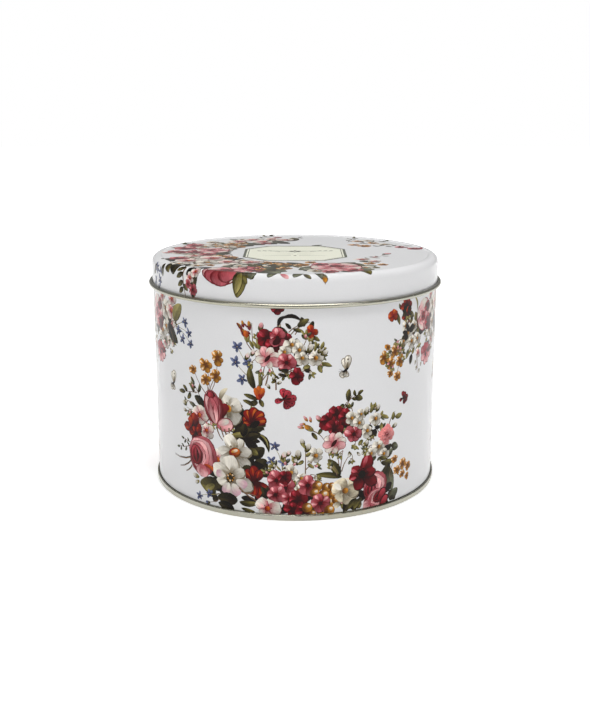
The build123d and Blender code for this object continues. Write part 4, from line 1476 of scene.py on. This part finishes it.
class TIN_OT_lid_shell(bpy.types.Operator):
    """Spin the lid's sheet: panel, shoulder, skirt and outward curl"""

    bl_idname = "tin.lid_shell"
    bl_label = "Lid Shell"

    def execute(self, context):
        film = context.scene.tin_sizes.film / MM
        skirt_end = (LID_RADIUS, lid_face[-1].height)
        section = follow_section(LID_START, 0.0, LID_FACE, film)
        section += follow_section(skirt_end, -90.0, LID_CURL_BEND, 0.0)
        section += follow_section(LID_START, 0.0, LID_FACE + LID_CURL_BEND, SHEET)[::-1]
        shell = spin_shell("lid_shell", section, SPIN_STEPS)
        dress(shell, "lacquered_tinplate", "lid")
        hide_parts("lid")
        return {"FINISHED"}


class TIN_OT_wall_print(bpy.types.Operator):
    """Print the flower garlands and wrap them round the wall"""

    bl_idname = "tin.wall_print"
    bl_label = "Wall Print"

    def execute(self, context):
        sizes = context.scene.tin_sizes
        film = sizes.film / MM
        margin = sizes.seam_margin / MM
        left = radians(FLUSH_EDGE - 360) * WALL_RADIUS + margin
        right = radians(UNDER_EDGE) * WALL_RADIUS - margin
        low, high = SEAM_HEIGHT + margin, WALL_TOP - sizes.wall_margin / MM
        columns = np.linspace(left, right, COLUMNS + 1)
        rows = np.array([columns + 1j * low, columns + 1j * high])
        ground = np.concatenate([rows[0], rows[1][::-1]])
        art = Artwork(ground, WALL_SEED)
        draw_wall(art, sizes.pattern_repeat / MM)
        middle = columns[COLUMNS // 2]
        width, height = columns[-1] - middle, high - low

        def map_front(points, middles):
            """Lays the left half of the wall over the right half."""
            upper = middles.real < middle
            across = (points.real - np.where(upper, columns[0], middle)) / width
            up = (points.imag - low) / height
            return 0.01 + 0.98 * across + 1j * (0.02 + 0.48 * up + np.where(upper, 0.49, 0.0))

        def map_back(points):
            return (points.real - left) / (right - left) + 0.012j * (points.imag - low) / height

        piece = make_film("wall_print", art.shapes, rows, False, wrap_wall, map_front, map_back, film)
        dress(piece, "litho_print", "tin")
        return {"FINISHED"}


class TIN_OT_lid_print(bpy.types.Operator):
    """Print the lid's flowers and label and draw them down over the lid"""

    bl_idname = "tin.lid_print"
    bl_label = "Lid Print"

    def execute(self, context):
        sizes = context.scene.tin_sizes
        film = sizes.film / MM
        spokes = np.exp(2j * pi * np.arange(COLUMNS) / COLUMNS)
        rows = np.array([reach * spokes for reach in lid_reach[1:]])
        art = Artwork(rows[-1], LID_SEED)
        draw_lid(art, sizes.label_size / MM)

        def wrap(points, lift):
            return wrap_lid(points, film - lift)

        def map_front(points, _):
            """Fills the square, in whose corner the back lies."""
            return 0.5 + 0.5j + points / LID_REACH * 0.49

        def map_back(points):
            return 0.06 + 0.06j + points / LID_REACH * 0.05

        piece = make_film("lid_print", art.shapes, rows, True, wrap, map_front, map_back, film)
        dress(piece, "litho_print", "lid")
        return {"FINISHED"}


class TIN_OT_stage(bpy.types.Operator):
    """Set up the floor, the soft lights and the camera"""

    bl_idname = "tin.stage"
    bl_label = "Stage"

    def execute(self, context):
        sizes = context.scene.tin_sizes
        bpy.ops.object.select_all(action="DESELECT")
        bpy.ops.mesh.primitive_plane_add(size=FLOOR_SIZE)
        floor = context.object
        floor.name = "floor"
        finish = Finish("floor")
        place = finish.out(finish.node("ShaderNodeTexCoord"), "Object")
        mottle = finish.noise(place, 9.0, detail=3)
        tint = tuple(context.scene.tin_colours.floor) + (1.0,)
        shade = tuple(0.98 * c for c in tint)
        finish.put(finish.surface.inputs["Base Color"], finish.mix(mottle, shade, tint))
        spread = finish.ease(round_place(finish)[2], FLOOR_NEAR, FLOOR_FAR)
        glow, sky = ((share, share, share, 1.0) for share in (FLOOR_GLOW, FLOOR_SKY))
        finish.put(finish.surface.inputs["Emission Color"], finish.mix(spread, glow, sky))
        finish.put(finish.surface.inputs["Emission Strength"], 1.0)
        finish.put(finish.surface.inputs["Roughness"], 0.9)
        finish.put(finish.surface.inputs["Specular IOR Level"], 0.0)
        floor.data.materials.append(finish.material)
        floor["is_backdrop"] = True
        for light in SOFT_LIGHTS:
            bpy.ops.object.light_add(type="AREA", location=light.place)
            lamp = context.object
            lamp.name = light.name
            lamp.data.shape = "RECTANGLE"
            lamp.data.size, lamp.data.size_y = light.size
            lamp.data.energy = light.power
            aim = Vector((0, 0, LID_TOP * MM / 2)) - lamp.location
            lamp.rotation_euler = aim.to_track_quat("-Z", "Y").to_euler()
        light_the_room(context.scene)
        bpy.ops.object.camera_add(location=(0, -sizes.camera_distance, sizes.camera_height))
        camera = context.object
        camera.rotation_euler = (pi / 2 - sizes.camera_tilt, 0, 0)
        camera.data.lens = CAMERA_LENS
        camera.data.sensor_width = CAMERA_SENSOR
        context.scene.camera = camera
        context.scene.view_settings.view_transform = "Standard"
        return {"FINISHED"}


def light_the_room(scene):
    """Makes the room plain white to look at. As a source of light, its front is dimmer than its back."""
    world = bpy.data.worlds.new("studio")
    world.use_nodes = True
    scene.world = world
    tree = world.node_tree
    shade = tree.nodes["Background"]
    shade.inputs["Color"].default_value = (1, 1, 1, 1)
    direction = tree.nodes.new("ShaderNodeTexCoord")
    parts = tree.nodes.new("ShaderNodeSeparateXYZ")
    dim = tree.nodes.new("ShaderNodeMapRange")
    dim.interpolation_type = "SMOOTHSTEP"
    path = tree.nodes.new("ShaderNodeLightPath")
    strength = tree.nodes.new("ShaderNodeMapRange")
    for key, value in zip(("From Min", "From Max", "To Min", "To Max"), (*ROOM_TURN, ROOM_FRONT, ROOM_BACK)):
        dim.inputs[key].default_value = value
    for source, target in (
        (direction.outputs["Generated"], parts.inputs[0]),
        (parts.outputs["Y"], dim.inputs["Value"]),
        (dim.outputs[0], strength.inputs["To Min"]),
        (path.outputs["Is Camera Ray"], strength.inputs["Value"]),
        (strength.outputs[0], shade.inputs["Strength"]),
    ):
        tree.links.new(source, target)


class TIN_PT_maker(bpy.types.Panel):
    """Lists the tin's pieces, its sizes and its colours"""

    bl_idname = "TIN_PT_maker"
    bl_label = "Printed Tin"
    bl_space_type = "VIEW_3D"
    bl_region_type = "UI"
    bl_category = "Tin"

    def draw(self, context):
        for step in STEPS:
            self.layout.operator(step.bl_idname)
        for group in (context.scene.tin_sizes, context.scene.tin_colours):
            for key in group.__annotations__:
                self.layout.prop(group, key)


STEPS = (TIN_OT_bare_metal, TIN_OT_lid_shell, TIN_OT_wall_print, TIN_OT_lid_print, TIN_OT_stage)
CLASSES = (TinSizes, TinColours, *STEPS, TIN_PT_maker)


def register():
    for each in CLASSES:
        bpy.utils.register_class(each)
    bpy.types.Scene.tin_sizes = bpy.props.PointerProperty(type=TinSizes)
    bpy.types.Scene.tin_colours = bpy.props.PointerProperty(type=TinColours)


def unregister():
    del bpy.types.Scene.tin_sizes
    del bpy.types.Scene.tin_colours
    for each in reversed(CLASSES):
        bpy.utils.unregister_class(each)


def main():
    register()
    bpy.ops.tin.bare_metal()
    bpy.ops.tin.lid_shell()
    bpy.ops.tin.wall_print()
    bpy.ops.tin.lid_print()
    bpy.ops.tin.stage()
    boxes = {"cad": cad_box, "visual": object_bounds()}
    {name: [list(corner) for corner in box] for name, box in boxes.items()}


if __name__ == "__main__":
    main()
